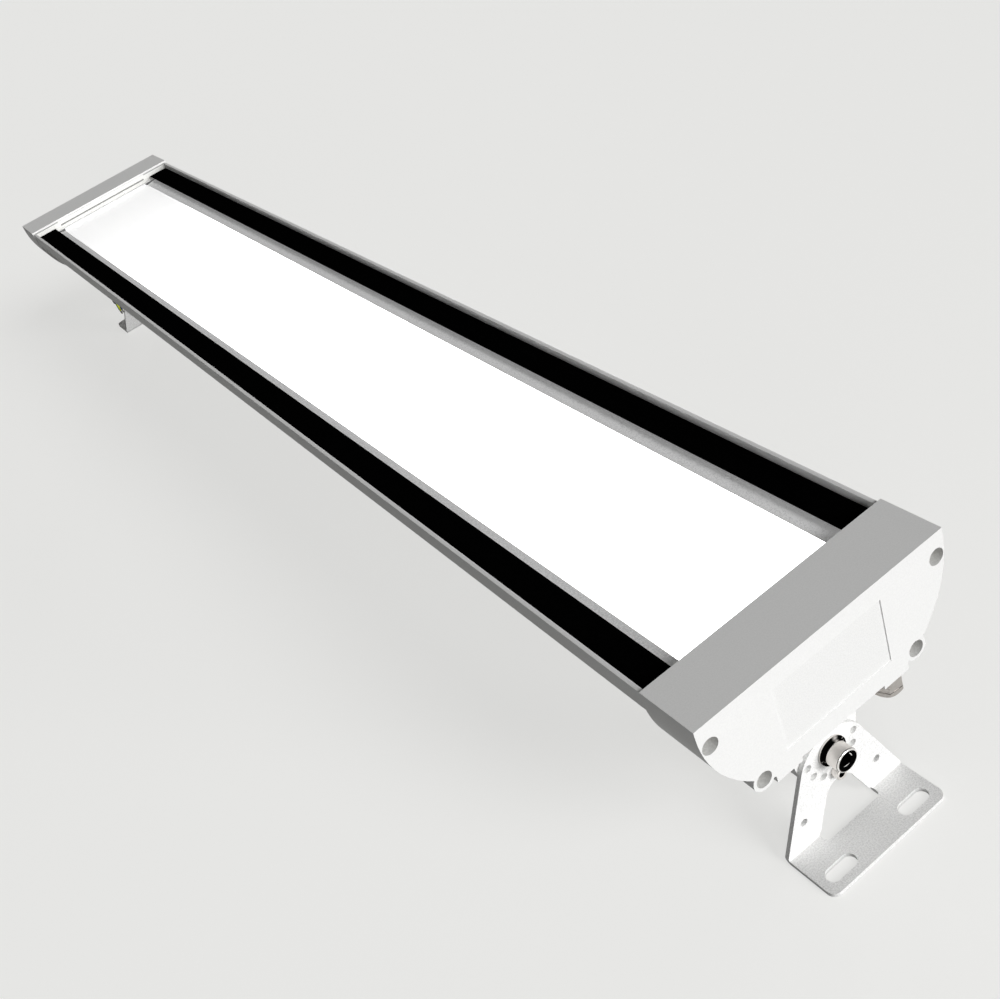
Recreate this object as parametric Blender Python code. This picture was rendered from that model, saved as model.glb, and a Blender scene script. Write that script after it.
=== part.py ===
"""LED tunnel light: a sealed extruded housing between two cast end caps, on two tilting brackets.

The light stands on its bracket feet with the glass facing up. X runs across the light, Y along it
and Z up. The origin is at the middle of the light, on the plane that the feet stand on.
"""
from math import acos, asin, atan2, cos, degrees, pi, radians, sin, sqrt

import bmesh
import bpy
from mathutils import Matrix, Vector

# General fits, in metres
CLEARANCE = 0.0003            # gap between pieces that touch
OVERRUN = 0.004               # how far a cutter runs past what it cuts

# Overall sizes
LAMP_LENGTH = 1.200           # over the two end caps
LAMP_WIDTH = 0.180
PIVOT_HEIGHT = 0.0609         # bracket pivot above the plane of the feet
PIVOT_DROP = 0.0387           # bracket pivot below the flat underside of the caps

# End cap casting
CAP_DEPTH = 0.042
CAP_HEIGHT = 0.0742
CAP_SHOULDER = 0.006          # upright part of the side, above the round flank
CAP_FOOT_INSET = 0.0425       # edge of the flat underside, in from the side
CAP_WALL = 0.003
CAP_MOUTH_LIP = 0.003
CAP_MOUTH_DROP = 0.022        # top of the mouth below the top of the cap
CAP_CAVITY_INSET = 0.0097     # side of the cavity, in from the upper screws
CAP_CAVITY_FOOT_INSET = 0.0092     # the same from the lower screws
CAP_EAR_RADIUS = 0.0076
CAP_PAD_INWARD = 0.010        # edges of a pad, from the middle of its cable entry
CAP_PAD_OUTWARD = 0.009
CAP_PAD_DROP = 0.0031
LABEL_INSET = 0.050           # sides of the label recess, in from the sides of the cap
LABEL_DROP = 0.0135
LABEL_RISE = 0.0132
LABEL_DEPTH = 0.001

# Screws that hold the caps, deep in their sinks
CAP_SCREW_RADIUS = 0.002
CAP_SCREW_BITE = 0.0194       # how far they reach into the housing
CAP_SCREW_HEAD_RADIUS = 0.0042
CAP_SCREW_HEAD_HEIGHT = 0.0035
CAP_SCREW_SOCKET_RADIUS = 0.0017
CAP_SCREW_SOCKET_DEPTH = 0.002
CAP_SCREW_SINK_GAP = 0.0012   # round the head
CAP_SCREW_SINK_DEPTH = 0.0135
UPPER_SCREW_INSET = 0.0068    # in from the side
UPPER_SCREW_DROP = 0.0162     # below the top of the cap
LOWER_SCREW_INSET = 0.0002    # in from the round flank
LOWER_SCREW_RISE = 0.0070     # above the underside of the cap

# Lug under each cap, which the bracket turns on
LUG_TOP_HALF = 0.031
LUG_RADIUS = 0.024
LUG_THICKNESS = 0.012

# Gasket between cap and housing
GASKET_THICKNESS = 0.0012
GASKET_INSET = 0.0012

# Extruded housing
HOUSING_INSET = 0.0012        # underside and ears, inside the cap's outline
FLANK_INSET = 0.005           # round flank, inside the cap's outline
RAIL_INSET = 0.0008
RAIL_THICKNESS = 0.0029
RAIL_TOP_DROP = 0.002         # below the top of the cap
RAIL_SIDE_HEIGHT = 0.0172
RAIL_FOOT_RADIUS = 0.005
LEDGE_INSET = 0.024           # inner edge of the ledge under the glass, in from the light's side
SHELF_INSET = 0.030           # the same for the shelf under the diffuser
SHELF_THICKNESS = 0.0023
LEDGE_ROOT_INSET = 0.018
LEDGE_ROOT_DROP = 0.009       # underside of the ledge below its top
FLANK_WALL = 0.003
WEB_THICKNESS = 0.003
FLOOR_THICKNESS = 0.0065
FIN_PITCH = 0.0075
FIN_GAP = 0.005
FIN_DEPTH = 0.004
TRAY_LIP_REACH = 0.002
TRAY_LIP_THICKNESS = 0.0015

# Glass, its seals, the bezels round the opening and the diffuser
GLASS_DROP = 0.0074           # top of the glass below the top of the cap
GLASS_THICKNESS = 0.004
SEAL_THICKNESS = 0.001
SEAL_WIDTH = 0.012
OPENING_INSET = 0.0341        # edge of the luminous opening, in from the light's side
BEZEL_SLOPE_INSET = 0.0235    # top of the slope beside it
BEZEL_EDGE = 0.0003
BEZEL_FLANGE = 0.001
BEZEL_SKIRT = 0.0009
END_BEZEL_ARM = 0.022
END_BEZEL_BAR = 0.0025
END_BEZEL_CORNER = 0.003
DIFFUSER_THICKNESS = 0.002

# Lamp boards
BOARD_COUNT = 4
BOARD_SETBACK = 0.0072        # row of boards, in from the ends of the housing
BOARD_INSET = 0.042           # sides of the boards, in from the light's sides
BOARD_GAP = 0.006
BOARD_THICKNESS = 0.0016
DIODE_SIZE = 0.005
DIODE_HEIGHT = 0.001
DIODE_ROWS = 2
DIODE_COLUMNS = 10
DIODE_ROW_PITCH = 0.040
BOARD_PLUG_SIZE = 0.006
BOARD_PLUG_HEIGHT = 0.0045
BOARD_PLUG_INSET = 0.001      # from the edge of the board
LINK_PLUG_INSET = 0.008       # plugs at a board's ends, for the leads from board to board

# Gear tray and what is fixed to it
TRAY_INSET = 0.0477           # sides of the tray, in from the light's sides
TRAY_SETBACK = 0.0162         # ends of the tray, in from the ends of the housing
TRAY_THICKNESS = 0.0015
GEAR_TAB_LENGTH = 0.012
GEAR_TAB_THICKNESS = 0.002
GEAR_CORNER = 0.002
GEAR_HEADROOM = 0.0041        # from the driver to the web above it
DRIVER_LENGTH = 0.300
DRIVER_INSET = 0.0123         # sides of the driver, in from the sides of the tray
DRIVER_HEIGHT = 0.022
DRIVER_GAP = 0.042            # to the surge protector
SURGE_LENGTH = 0.046
SURGE_WIDTH = 0.032
SURGE_HEIGHT = 0.020
SURGE_GAP = 0.070             # to the terminal block
TERMINAL_LENGTH = 0.024
TERMINAL_WIDTH = 0.036
TERMINAL_HEIGHT = 0.017
TERMINAL_SETBACK = 0.1062     # its middle, in from the end of the housing
TERMINAL_POLES = 3
TERMINAL_SCREW_RADIUS = 0.0028
TERMINAL_SCREW_RISE = 0.001

# Wiring
LEAD_RADIUS = 0.002
LEAD_RISE = 0.010             # leads above the tray
LEAD_X = 0.008
LEAD_BOW = 0.010              # how far a slack lead swings out, and how far it runs to do so
LEAD_STRAIGHT = 0.005         # straight stretch of a lead at what it enters
LEAD_WAY_SHARES = (0.13, 0.38, 0.87)    # places on the driver lead's way to its board
LINK_LEAD_RADIUS = 0.0012
GROMMET_INSET = 0.032         # hole through the web, in from the light's side
GROMMET_GAP = 0.040           # how far beyond the driver it is
GROMMET_REACH = 0.0012
GROMMET_WALL = 0.001
CABLE_LOOP_RISE = 0.026       # top of the cable's loop in the cap, above the underside
CABLE_LOOP_REACH = 0.016      # how far back from the gland that top is
CABLE_LEAD_IN = 0.030         # straight stretch before the terminals

# Vent plug and cable gland, screwed up into the pads
ENTRY_INSET = 0.048           # in from the light's side
ENTRY_SETBACK = 0.0096        # behind the cap's front face
ENTRY_THREAD_RADIUS = 0.006
ENTRY_BOSS_RADIUS = 0.0083
ENTRY_BOSS_RISE = 0.008       # above the underside of the cap
ENTRY_THREAD_RISE = 0.0085
ENTRY_SEAL_THICKNESS = 0.0012
ENTRY_SEAL_RADIUS = 0.0072
ENTRY_HEX_ACROSS = 0.016
ENTRY_TURN_DEGREES = 25.0
ENTRY_DEPTH = 0.0137          # from the pad to the lowest point
VENT_GROOVE_HEIGHT = 0.0006
VENT_GROOVE_DEPTH = 0.0006
VENT_FOOT_HEIGHT = 0.0034
VENT_CHAMFER = 0.0016
GLAND_HEX_HEIGHT = 0.0042
GLAND_SPIGOT_RADIUS = 0.0067
GLAND_SPIGOT_WALL = 0.0012
GLAND_NUT_RADIUS = 0.0084
GLAND_NUT_WALL = 0.0014
GLAND_MOUTH_GAP = 0.0004      # round the cable
GLAND_DOME_HEIGHT = 0.0032
GLAND_DOME_TOP_RADIUS = 0.006

# Supply cable stub, with its three bared cores
CABLE_RADIUS = 0.0035
CABLE_FREE_LENGTH = 0.0437
CABLE_HANG = 0.012            # upright stretch under the gland
CABLE_END = 0.010             # straight stretch at the free end
CORE_LENGTH = 0.0158          # with its bare tip
CORE_TIP_LENGTH = 0.0048
CABLE_LEAN = 0.0025           # how far the free end hangs in towards the middle
CORE_RADIUS = 0.00125
CORE_TIP_RADIUS = 0.00095
CORE_OFFSET = 0.00165

# Bracket, folded from sheet
SHEET = 0.003
PLATE_SETBACK = 0.0178        # outer face of the plate behind the cap's front face
PLATE_TOP_RADIUS = 0.026
PLATE_TOP_BELOW_PIVOT = 0.0111
PLATE_FOOT_HALF = 0.0475
PLATE_FOOT_RISE = 0.0018      # where the slanted sides start above the foot
BEND_RADIUS = 0.001
FOOT_REACH = 0.0356           # from the plate's outer face
FOOT_CORNER = 0.006
HOLE_FIT = 0.0004             # round the bolt and the index screw
INDEX_CIRCLE_RADIUS = 0.0185
INDEX_STEP_DEGREES = 30.0
LEG_HOLE_RISE = 0.0202        # above the top of the foot
LEG_HOLE_RADIUS = 0.00265
WINDOW_BRIDGE = 0.0048        # left between the window and the lowest index hole
WINDOW_APEX_RADIUS = 0.0115
WINDOW_SIDE_HALF = 0.0205
WINDOW_FOOT_HALF = 0.0227
WINDOW_FOOT_REACH = 0.007
WINDOW_CORNER = 0.0035
SLOT_INSET = 0.017            # middle of a slot, in from the side of the foot
SLOT_SETBACK = 0.0108         # and from its front edge
SLOT_LENGTH = 0.0225
SLOT_WIDTH = 0.010

# Pivot bolt and index screw
BOLT_RADIUS = 0.005
BOLT_HEAD_RADIUS = 0.008
BOLT_HEAD_HEIGHT = 0.0089
BOLT_SOCKET_ACROSS = 0.008
BOLT_SOCKET_DEPTH = 0.005
BOLT_CHAMFER = 0.0006
BOLT_TAIL = 0.002             # past the nut
WASHER_RADIUS = 0.010
WASHER_THICKNESS = 0.002
SPRING_WASHER_RADIUS = 0.0086
SPRING_WASHER_THICKNESS = 0.0012
NUT_ACROSS = 0.016
NUT_HEIGHT = 0.0084
INDEX_SCREW_RADIUS = 0.0022
INDEX_HEAD_RADIUS = 0.004
INDEX_HEAD_HEIGHT = 0.005
INDEX_SOCKET_ACROSS = 0.004
INDEX_SOCKET_DEPTH = 0.0025

# Facets in a full turn
FINE_TURN = 28
ROUND_TURN = 20
SMALL_TURN = 12
FLANK_STEPS = 12
ARC_STEPS = 8
CORNER_STEPS = 5
BEND_STEPS = 3
CORD_STEP_DIAMETERS = 2.5

# Heights that the pieces share
FOOT_TOP = SHEET
CAP_BOTTOM = PIVOT_HEIGHT + PIVOT_DROP
CAP_TOP = CAP_BOTTOM + CAP_HEIGHT
SHOULDER = CAP_TOP - CAP_SHOULDER
PAD_BOTTOM = CAP_BOTTOM - CAP_PAD_DROP
RAIL_TOP = CAP_TOP - RAIL_TOP_DROP
GLASS_TOP = CAP_TOP - GLASS_DROP
GLASS_BOTTOM = GLASS_TOP - GLASS_THICKNESS
SEAL_TOP = GLASS_BOTTOM - CLEARANCE
LEDGE_TOP = SEAL_TOP - SEAL_THICKNESS - CLEARANCE
BEZEL_BOTTOM = SEAL_TOP - BEZEL_FLANGE - BEZEL_SKIRT
DIFFUSER_TOP = BEZEL_BOTTOM - CLEARANCE
SHELF_TOP = DIFFUSER_TOP - DIFFUSER_THICKNESS - CLEARANCE
HOUSING_BOTTOM = CAP_BOTTOM + HOUSING_INSET
FLOOR_TOP = HOUSING_BOTTOM + FLOOR_THICKNESS
TRAY_TOP = FLOOR_TOP + CLEARANCE + TRAY_THICKNESS
GEAR_BASE = TRAY_TOP + CLEARANCE
WEB_BOTTOM = GEAR_BASE + DRIVER_HEIGHT + GEAR_HEADROOM
WEB_TOP = WEB_BOTTOM + WEB_THICKNESS
BOARD_TOP = WEB_TOP + CLEARANCE + BOARD_THICKNESS
UPPER_SCREW_Z = CAP_TOP - UPPER_SCREW_DROP
LOWER_SCREW_Z = CAP_BOTTOM + LOWER_SCREW_RISE

# Places along the light, for the far half; the near half is the same turned round
CAP_FRONT = LAMP_LENGTH / 2
CAP_BACK = CAP_FRONT - CAP_DEPTH
HOUSING_END = CAP_BACK - CLEARANCE - GASKET_THICKNESS - CLEARANCE
PLATE_OUTER = CAP_FRONT - PLATE_SETBACK
PLATE_INNER = PLATE_OUTER - SHEET
LUG_FRONT = PLATE_INNER - CLEARANCE
LUG_BACK = LUG_FRONT - LUG_THICKNESS
ENTRY_Y = CAP_FRONT - ENTRY_SETBACK
SLOT_Y = PLATE_OUTER + FOOT_REACH - SLOT_SETBACK
BOARD_LENGTH = (2 * (HOUSING_END - BOARD_SETBACK) + BOARD_GAP) / BOARD_COUNT - BOARD_GAP
TERMINAL_Y = HOUSING_END - TERMINAL_SETBACK
SURGE_Y = TERMINAL_Y - TERMINAL_LENGTH / 2 - SURGE_GAP - SURGE_LENGTH / 2
DRIVER_Y = SURGE_Y - SURGE_LENGTH / 2 - DRIVER_GAP - DRIVER_LENGTH / 2
GROMMET_Y = DRIVER_Y - DRIVER_LENGTH / 2 - GROMMET_GAP

# Widths that the pieces share, from the middle of the light
SIDE = LAMP_WIDTH / 2
FLANK_HEIGHT = CAP_HEIGHT - CAP_SHOULDER
FLANK_RADIUS = (CAP_FOOT_INSET ** 2 + FLANK_HEIGHT ** 2) / (2 * CAP_FOOT_INSET)
FLANK_CENTRE_X = SIDE - FLANK_RADIUS
UPPER_SCREW_X = SIDE - UPPER_SCREW_INSET
LOWER_SCREW_X = FLANK_CENTRE_X + sqrt((FLANK_RADIUS - LOWER_SCREW_INSET) ** 2
                                      - (SHOULDER - LOWER_SCREW_Z) ** 2)
RAIL_OUTER = SIDE - RAIL_INSET
RAIL_INNER = RAIL_OUTER - RAIL_THICKNESS
GLASS_HALF = RAIL_INNER - CLEARANCE
LEDGE_HALF = SIDE - LEDGE_INSET
SHELF_HALF = SIDE - SHELF_INSET
OPENING_HALF = SIDE - OPENING_INSET
BEZEL_FLANGE_HALF = GLASS_HALF - SEAL_WIDTH - CLEARANCE
BEZEL_SLOPE_TOP_HALF = SIDE - BEZEL_SLOPE_INSET
BOARD_HALF = SIDE - BOARD_INSET
LINK_PLUG_X = BOARD_HALF - LINK_PLUG_INSET
TRAY_HALF = SIDE - TRAY_INSET
TRAY_SLOT_HALF = TRAY_HALF + CLEARANCE
GROMMET_X = SIDE - GROMMET_INSET
ENTRY_X = SIDE - ENTRY_INSET
SLOT_X = PLATE_FOOT_HALF - SLOT_INSET

# Bores, from what goes through them
PORT_RADIUS = CAP_SCREW_RADIUS + CLEARANCE
SINK_RADIUS = CAP_SCREW_HEAD_RADIUS + CAP_SCREW_SINK_GAP
PIVOT_HOLE_RADIUS = BOLT_RADIUS + HOLE_FIT
INDEX_HOLE_RADIUS = INDEX_SCREW_RADIUS + HOLE_FIT


def circle(centre_x, centre_y, radius, steps, start=0.0):
    """Points of a full circle."""
    turns = [radians(start) + 2 * pi * step / steps for step in range(steps)]
    return [(centre_x + radius * cos(turn), centre_y + radius * sin(turn)) for turn in turns]


def arc(centre_x, centre_y, radius, start, end, steps):
    """Points of an arc, from one angle in radians to another, with both ends."""
    turns = [start + (end - start) * step / steps for step in range(steps + 1)]
    return [(centre_x + radius * cos(turn), centre_y + radius * sin(turn)) for turn in turns]


def hexagon(across_flats, turn_degrees=0.0):
    return circle(0, 0, across_flats / sqrt(3), 6, turn_degrees)


def rectangle(low_x, high_x, low_y, high_y):
    return [(low_x, low_y), (high_x, low_y), (high_x, high_y), (low_x, high_y)]


def mirrored(right_half):
    """Closes an outline given by its right half, from the bottom to the top."""
    return right_half + [(-x, y) for x, y in reversed(right_half)]


def flank(inset, low, high, steps=FLANK_STEPS):
    """Points up the round side of the light, at an inset from the cap, between two heights."""
    radius = FLANK_RADIUS - inset
    start, end = (-asin((SHOULDER - height) / radius) for height in (low, high))
    return arc(FLANK_CENTRE_X, SHOULDER, radius, start, end, steps)


def new_object(name, shape, colour=None, roughness=0.5, metallic=0.0):
    """Makes the object of a bmesh, with a material of its own."""
    bmesh.ops.recalc_face_normals(shape, faces=shape.faces)
    mesh = bpy.data.meshes.new(name)
    shape.to_mesh(mesh)
    shape.free()
    piece = bpy.data.objects.new(name, mesh)
    bpy.context.scene.collection.objects.link(piece)
    if colour is not None:
        paint(piece, colour, roughness, metallic)
    return piece


def paint(piece, colour, roughness=0.5, metallic=0.0):
    material = bpy.data.materials.new(piece.name)
    material.use_nodes = True
    shader = material.node_tree.nodes["Principled BSDF"]
    shader.inputs["Base Color"].default_value = (*colour, 1)
    shader.inputs["Roughness"].default_value = roughness
    shader.inputs["Metallic"].default_value = metallic
    piece.data.materials.clear()
    piece.data.materials.append(material)
    return piece


def prism(name, loops, axis, low, high, *finish):
    """A straight solid along an axis: the first loop is its outline and the others are holes."""
    place = {
        "X": lambda a, b, along: (along, a, b),
        "Y": lambda a, b, along: (a, along, b),
        "Z": lambda a, b, along: (a, b, along),
    }[axis]
    shape = bmesh.new()
    for loop in loops:
        corners = [shape.verts.new(place(a, b, low)) for a, b in loop]
        for index, corner in enumerate(corners):
            shape.edges.new((corners[index - 1], corner))
    bmesh.ops.triangle_fill(shape, edges=shape.edges[:], use_beauty=True)
    grown = bmesh.ops.extrude_face_region(shape, geom=shape.faces[:])["geom"]
    far_end = [item for item in grown if isinstance(item, bmesh.types.BMVert)]
    step = Vector(place(0, 0, high)) - Vector(place(0, 0, low))
    bmesh.ops.translate(shape, verts=far_end, vec=step)
    return new_object(name, shape, *finish)


def turned(name, profile, steps, *finish):
    """A round solid about Z from a profile of (radius, height) points that starts and ends on it."""
    shape = bmesh.new()
    rings = []
    for radius, height in profile:
        points = circle(0, 0, radius, steps) if radius else [(0, 0)]
        rings.append([shape.verts.new((x, y, height)) for x, y in points])
    join_rings(shape, rings, steps)
    return new_object(name, shape, *finish)


def turned_ring(name, profile, steps, *finish):
    """A round solid with a bore, about Z, from a closed loop of (radius, height) points."""
    shape = bmesh.new()
    rings = [[shape.verts.new((x, y, height)) for x, y in circle(0, 0, radius, steps)]
             for radius, height in profile]
    join_rings(shape, rings + rings[:1], steps)
    return new_object(name, shape, *finish)


def join_rings(shape, rings, steps):
    for first, second in zip(rings, rings[1:]):
        for step in range(steps):
            after = (step + 1) % steps
            corners = [first[step % len(first)], first[after % len(first)],
                       second[after % len(second)], second[step % len(second)]]
            shape.faces.new(list(dict.fromkeys(corners)))


def combine(target, other, operation):
    """Applies one Boolean, and removes the other object."""
    modifier = target.modifiers.new(operation, "BOOLEAN")
    modifier.operation = operation
    modifier.object = other
    modifier.solver = "EXACT"
    graph = bpy.context.evaluated_depsgraph_get()
    graph.update()
    mesh = bpy.data.meshes.new_from_object(target.evaluated_get(graph))
    target.modifiers.clear()
    target.data = mesh
    bpy.data.objects.remove(other)
    return target


def cut(target, *others):
    for other in others:
        combine(target, other, "DIFFERENCE")
    return target


def fuse(target, *others):
    for other in others:
        combine(target, other, "UNION")
    return target


def moved(piece, x=0.0, y=0.0, z=0.0, turn=None):
    """Places the geometry of a piece, after turning it by a matrix."""
    place = Matrix.Translation((x, y, z))
    piece.data.transform(place @ turn if turn else place)
    return piece


def copied(piece, name, *finish):
    twin = bpy.data.objects.new(name, piece.data.copy())
    bpy.context.scene.collection.objects.link(twin)
    if finish:
        paint(twin, *finish)
    return twin


def joined(cutters):
    """One cutter made of several that don't meet."""
    shape = bmesh.new()
    for cutter in cutters:
        shape.from_mesh(cutter.data)
        bpy.data.objects.remove(cutter)
    return new_object("cutters", shape)


UPRIGHT_TO_OUTWARD = Matrix.Rotation(-pi / 2, 4, "X")     # turns +Z to +Y
HALF_TURN = Matrix.Rotation(pi, 4, "Z")                   # takes the far end to the near end

POWDER = ((0.66, 0.66, 0.66), 0.55, 0.0)
WHITE_PLASTIC = ((0.84, 0.84, 0.84), 0.45, 0.0)
STEEL = ((0.50, 0.50, 0.50), 0.35, 1.0)
NICKEL = ((0.48, 0.45, 0.42), 0.25, 1.0)
ALUMINIUM = ((0.55, 0.56, 0.57), 0.4, 1.0)
BLACK_RUBBER = ((0.02, 0.02, 0.02), 0.7, 0.0)
BLACK_CABLE = ((0.015, 0.015, 0.015), 0.5, 0.0)


def smooth_path(route, radius):
    """Points along a smooth curve through a route's own points, straight in its end runs."""
    points = [Vector(point) for point in route]
    slopes = [(after - before) / 2 for before, after in zip(points, points[2:])]
    first, last = points[1] - points[0], points[-1] - points[-2]
    if slopes:
        slopes[0] = first.normalized() * slopes[0].length
        slopes[-1] = last.normalized() * slopes[-1].length
    slopes = [first, *slopes, last]
    path = []
    for start, end, leave, arrive in zip(points, points[1:], slopes, slopes[1:]):
        steps = max(2, round((end - start).length / (2 * radius * CORD_STEP_DIAMETERS)))
        for step in range(steps):
            t = step / steps
            path.append(start * (1 + 2 * t) * (1 - t) ** 2 + leave * t * (1 - t) ** 2
                        + end * t * t * (3 - 2 * t) - arrive * t * t * (1 - t))
    return path + [points[-1]]


def tube(name, route, radius, *finish):
    """A round cord along a smooth route, as a curve with filled ends."""
    path = smooth_path(route, radius)
    curve = bpy.data.curves.new(name, "CURVE")
    curve.dimensions = "3D"
    curve.bevel_depth = radius
    curve.bevel_resolution = 2
    curve.use_fill_caps = True
    spline = curve.splines.new("POLY")
    spline.points.add(len(path) - 1)
    for point, place in zip(spline.points, path):
        point.co = (*place, 1)
    cord = bpy.data.objects.new(name, curve)
    bpy.context.scene.collection.objects.link(cord)
    return paint(cord, *finish)


def upper_screw_places():
    return [(side * UPPER_SCREW_X, UPPER_SCREW_Z) for side in (-1, 1)]


def lower_screw_places():
    return [(side * LOWER_SCREW_X, LOWER_SCREW_Z) for side in (-1, 1)]


def cap_screw_places():
    return upper_screw_places() + lower_screw_places()


def circles_meet(first, first_radius, second, second_radius, side):
    """One of the two points where two circles cross, on the given side of the centre line."""
    gap_x, gap_y = second[0] - first[0], second[1] - first[1]
    gap = sqrt(gap_x ** 2 + gap_y ** 2)
    along = (gap ** 2 + first_radius ** 2 - second_radius ** 2) / (2 * gap)
    off = side * sqrt(first_radius ** 2 - along ** 2)
    return (first[0] + (along * gap_x - off * gap_y) / gap,
            first[1] + (along * gap_y + off * gap_x) / gap)


def housing_outline():
    """The outside of the extrusion, from the middle of its underside to the web in its trough."""
    outline = []
    for index in range(int((SIDE - CAP_FOOT_INSET) / FIN_PITCH)):
        middle = (index + 0.5) * FIN_PITCH
        for x, rise in ((-1, 0), (-1, 1), (1, 1), (1, 0)):
            outline.append((middle + x * FIN_GAP / 2, HOUSING_BOTTOM + rise * FIN_DEPTH))
    centre = (FLANK_CENTRE_X, SHOULDER)
    ear = (LOWER_SCREW_X, LOWER_SCREW_Z)
    ear_radius = CAP_EAR_RADIUS - HOUSING_INSET
    below = circles_meet(centre, FLANK_RADIUS - HOUSING_INSET, ear, ear_radius, -1)
    above = circles_meet(centre, FLANK_RADIUS - FLANK_INSET, ear, ear_radius, 1)
    start = atan2(below[1] - ear[1], below[0] - ear[0])
    end = atan2(above[1] - ear[1], above[0] - ear[0])
    outline += flank(HOUSING_INSET, HOUSING_BOTTOM, below[1], BEND_STEPS)[:-1]
    outline += arc(*ear, ear_radius, start, end, ARC_STEPS)
    rail_foot = RAIL_TOP - RAIL_SIDE_HEIGHT
    outline += flank(FLANK_INSET, above[1], rail_foot)[1:]
    outline += arc(RAIL_OUTER - RAIL_FOOT_RADIUS, rail_foot + RAIL_FOOT_RADIUS, RAIL_FOOT_RADIUS,
                   -pi / 2, 0, CORNER_STEPS)
    outline += [(RAIL_OUTER, RAIL_TOP), (RAIL_INNER, RAIL_TOP), (RAIL_INNER, LEDGE_TOP),
                (LEDGE_HALF, LEDGE_TOP), (LEDGE_HALF, SHELF_TOP), (SHELF_HALF, SHELF_TOP),
                (SHELF_HALF, SHELF_TOP - SHELF_THICKNESS)]
    ledge_bottom = LEDGE_TOP - LEDGE_ROOT_DROP
    outline.append((SIDE - LEDGE_ROOT_INSET, ledge_bottom))
    inside = flank(FLANK_INSET + FLANK_WALL, WEB_TOP, ledge_bottom, BEND_STEPS)
    return outline + inside[::-1]


def gear_chamber_outline():
    """The closed chamber under the web, with the two lips that the gear tray slides under."""
    lip_bottom = TRAY_TOP + CLEARANCE
    lip_top = lip_bottom + TRAY_LIP_THICKNESS
    lip_edge = TRAY_SLOT_HALF - TRAY_LIP_REACH
    outline = [(TRAY_SLOT_HALF, FLOOR_TOP), (TRAY_SLOT_HALF, lip_bottom),
               (lip_edge, lip_bottom), (lip_edge, lip_top)]
    return outline + flank(FLANK_INSET + FLANK_WALL, lip_top, WEB_BOTTOM)


def board_middles():
    pitch = BOARD_LENGTH + BOARD_GAP
    return [(index - (BOARD_COUNT - 1) / 2) * pitch for index in range(BOARD_COUNT)]


def make_housing():
    """Aluminium extrusion with glass rails, inner web, gear chamber, screw ports and cooling fins."""
    ports = [circle(x, z, PORT_RADIUS, SMALL_TURN) for x, z in cap_screw_places()]
    loops = [mirrored(housing_outline()), mirrored(gear_chamber_outline())] + ports
    housing = prism("housing", loops, "Y", -HOUSING_END, HOUSING_END)
    grommet_hole = circle(GROMMET_X, GROMMET_Y, LEAD_RADIUS + GROMMET_WALL + CLEARANCE, SMALL_TURN)
    cut(housing, prism("hole", [grommet_hole], "Z", WEB_BOTTOM - OVERRUN, WEB_TOP + OVERRUN))
    return paint(housing, *POWDER)


def cap_outline(inset, top):
    """The cap's outside at an inset, up to a height, without its ears and pads."""
    low = CAP_BOTTOM + inset
    outline = flank(inset, low, SHOULDER)
    return mirrored(outline + [(SIDE - inset, top)])


def mouth_outline(top):
    """The hollow of the cap, which leaves room for the screw bosses at its four corners."""
    boss_top = LOWER_SCREW_Z + CAP_EAR_RADIUS + CAP_WALL
    half, foot_half = UPPER_SCREW_X - CAP_CAVITY_INSET, LOWER_SCREW_X - CAP_CAVITY_FOOT_INSET
    radius = FLANK_RADIUS - CAP_WALL
    turn = acos((half - FLANK_CENTRE_X) / radius)
    side_low = SHOULDER - radius * sin(turn)
    outline = [(foot_half, CAP_BOTTOM + CAP_WALL), (foot_half, boss_top)]
    outline += flank(CAP_WALL, boss_top, side_low, CORNER_STEPS)
    return mirrored(outline + [(half, top)])


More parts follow.
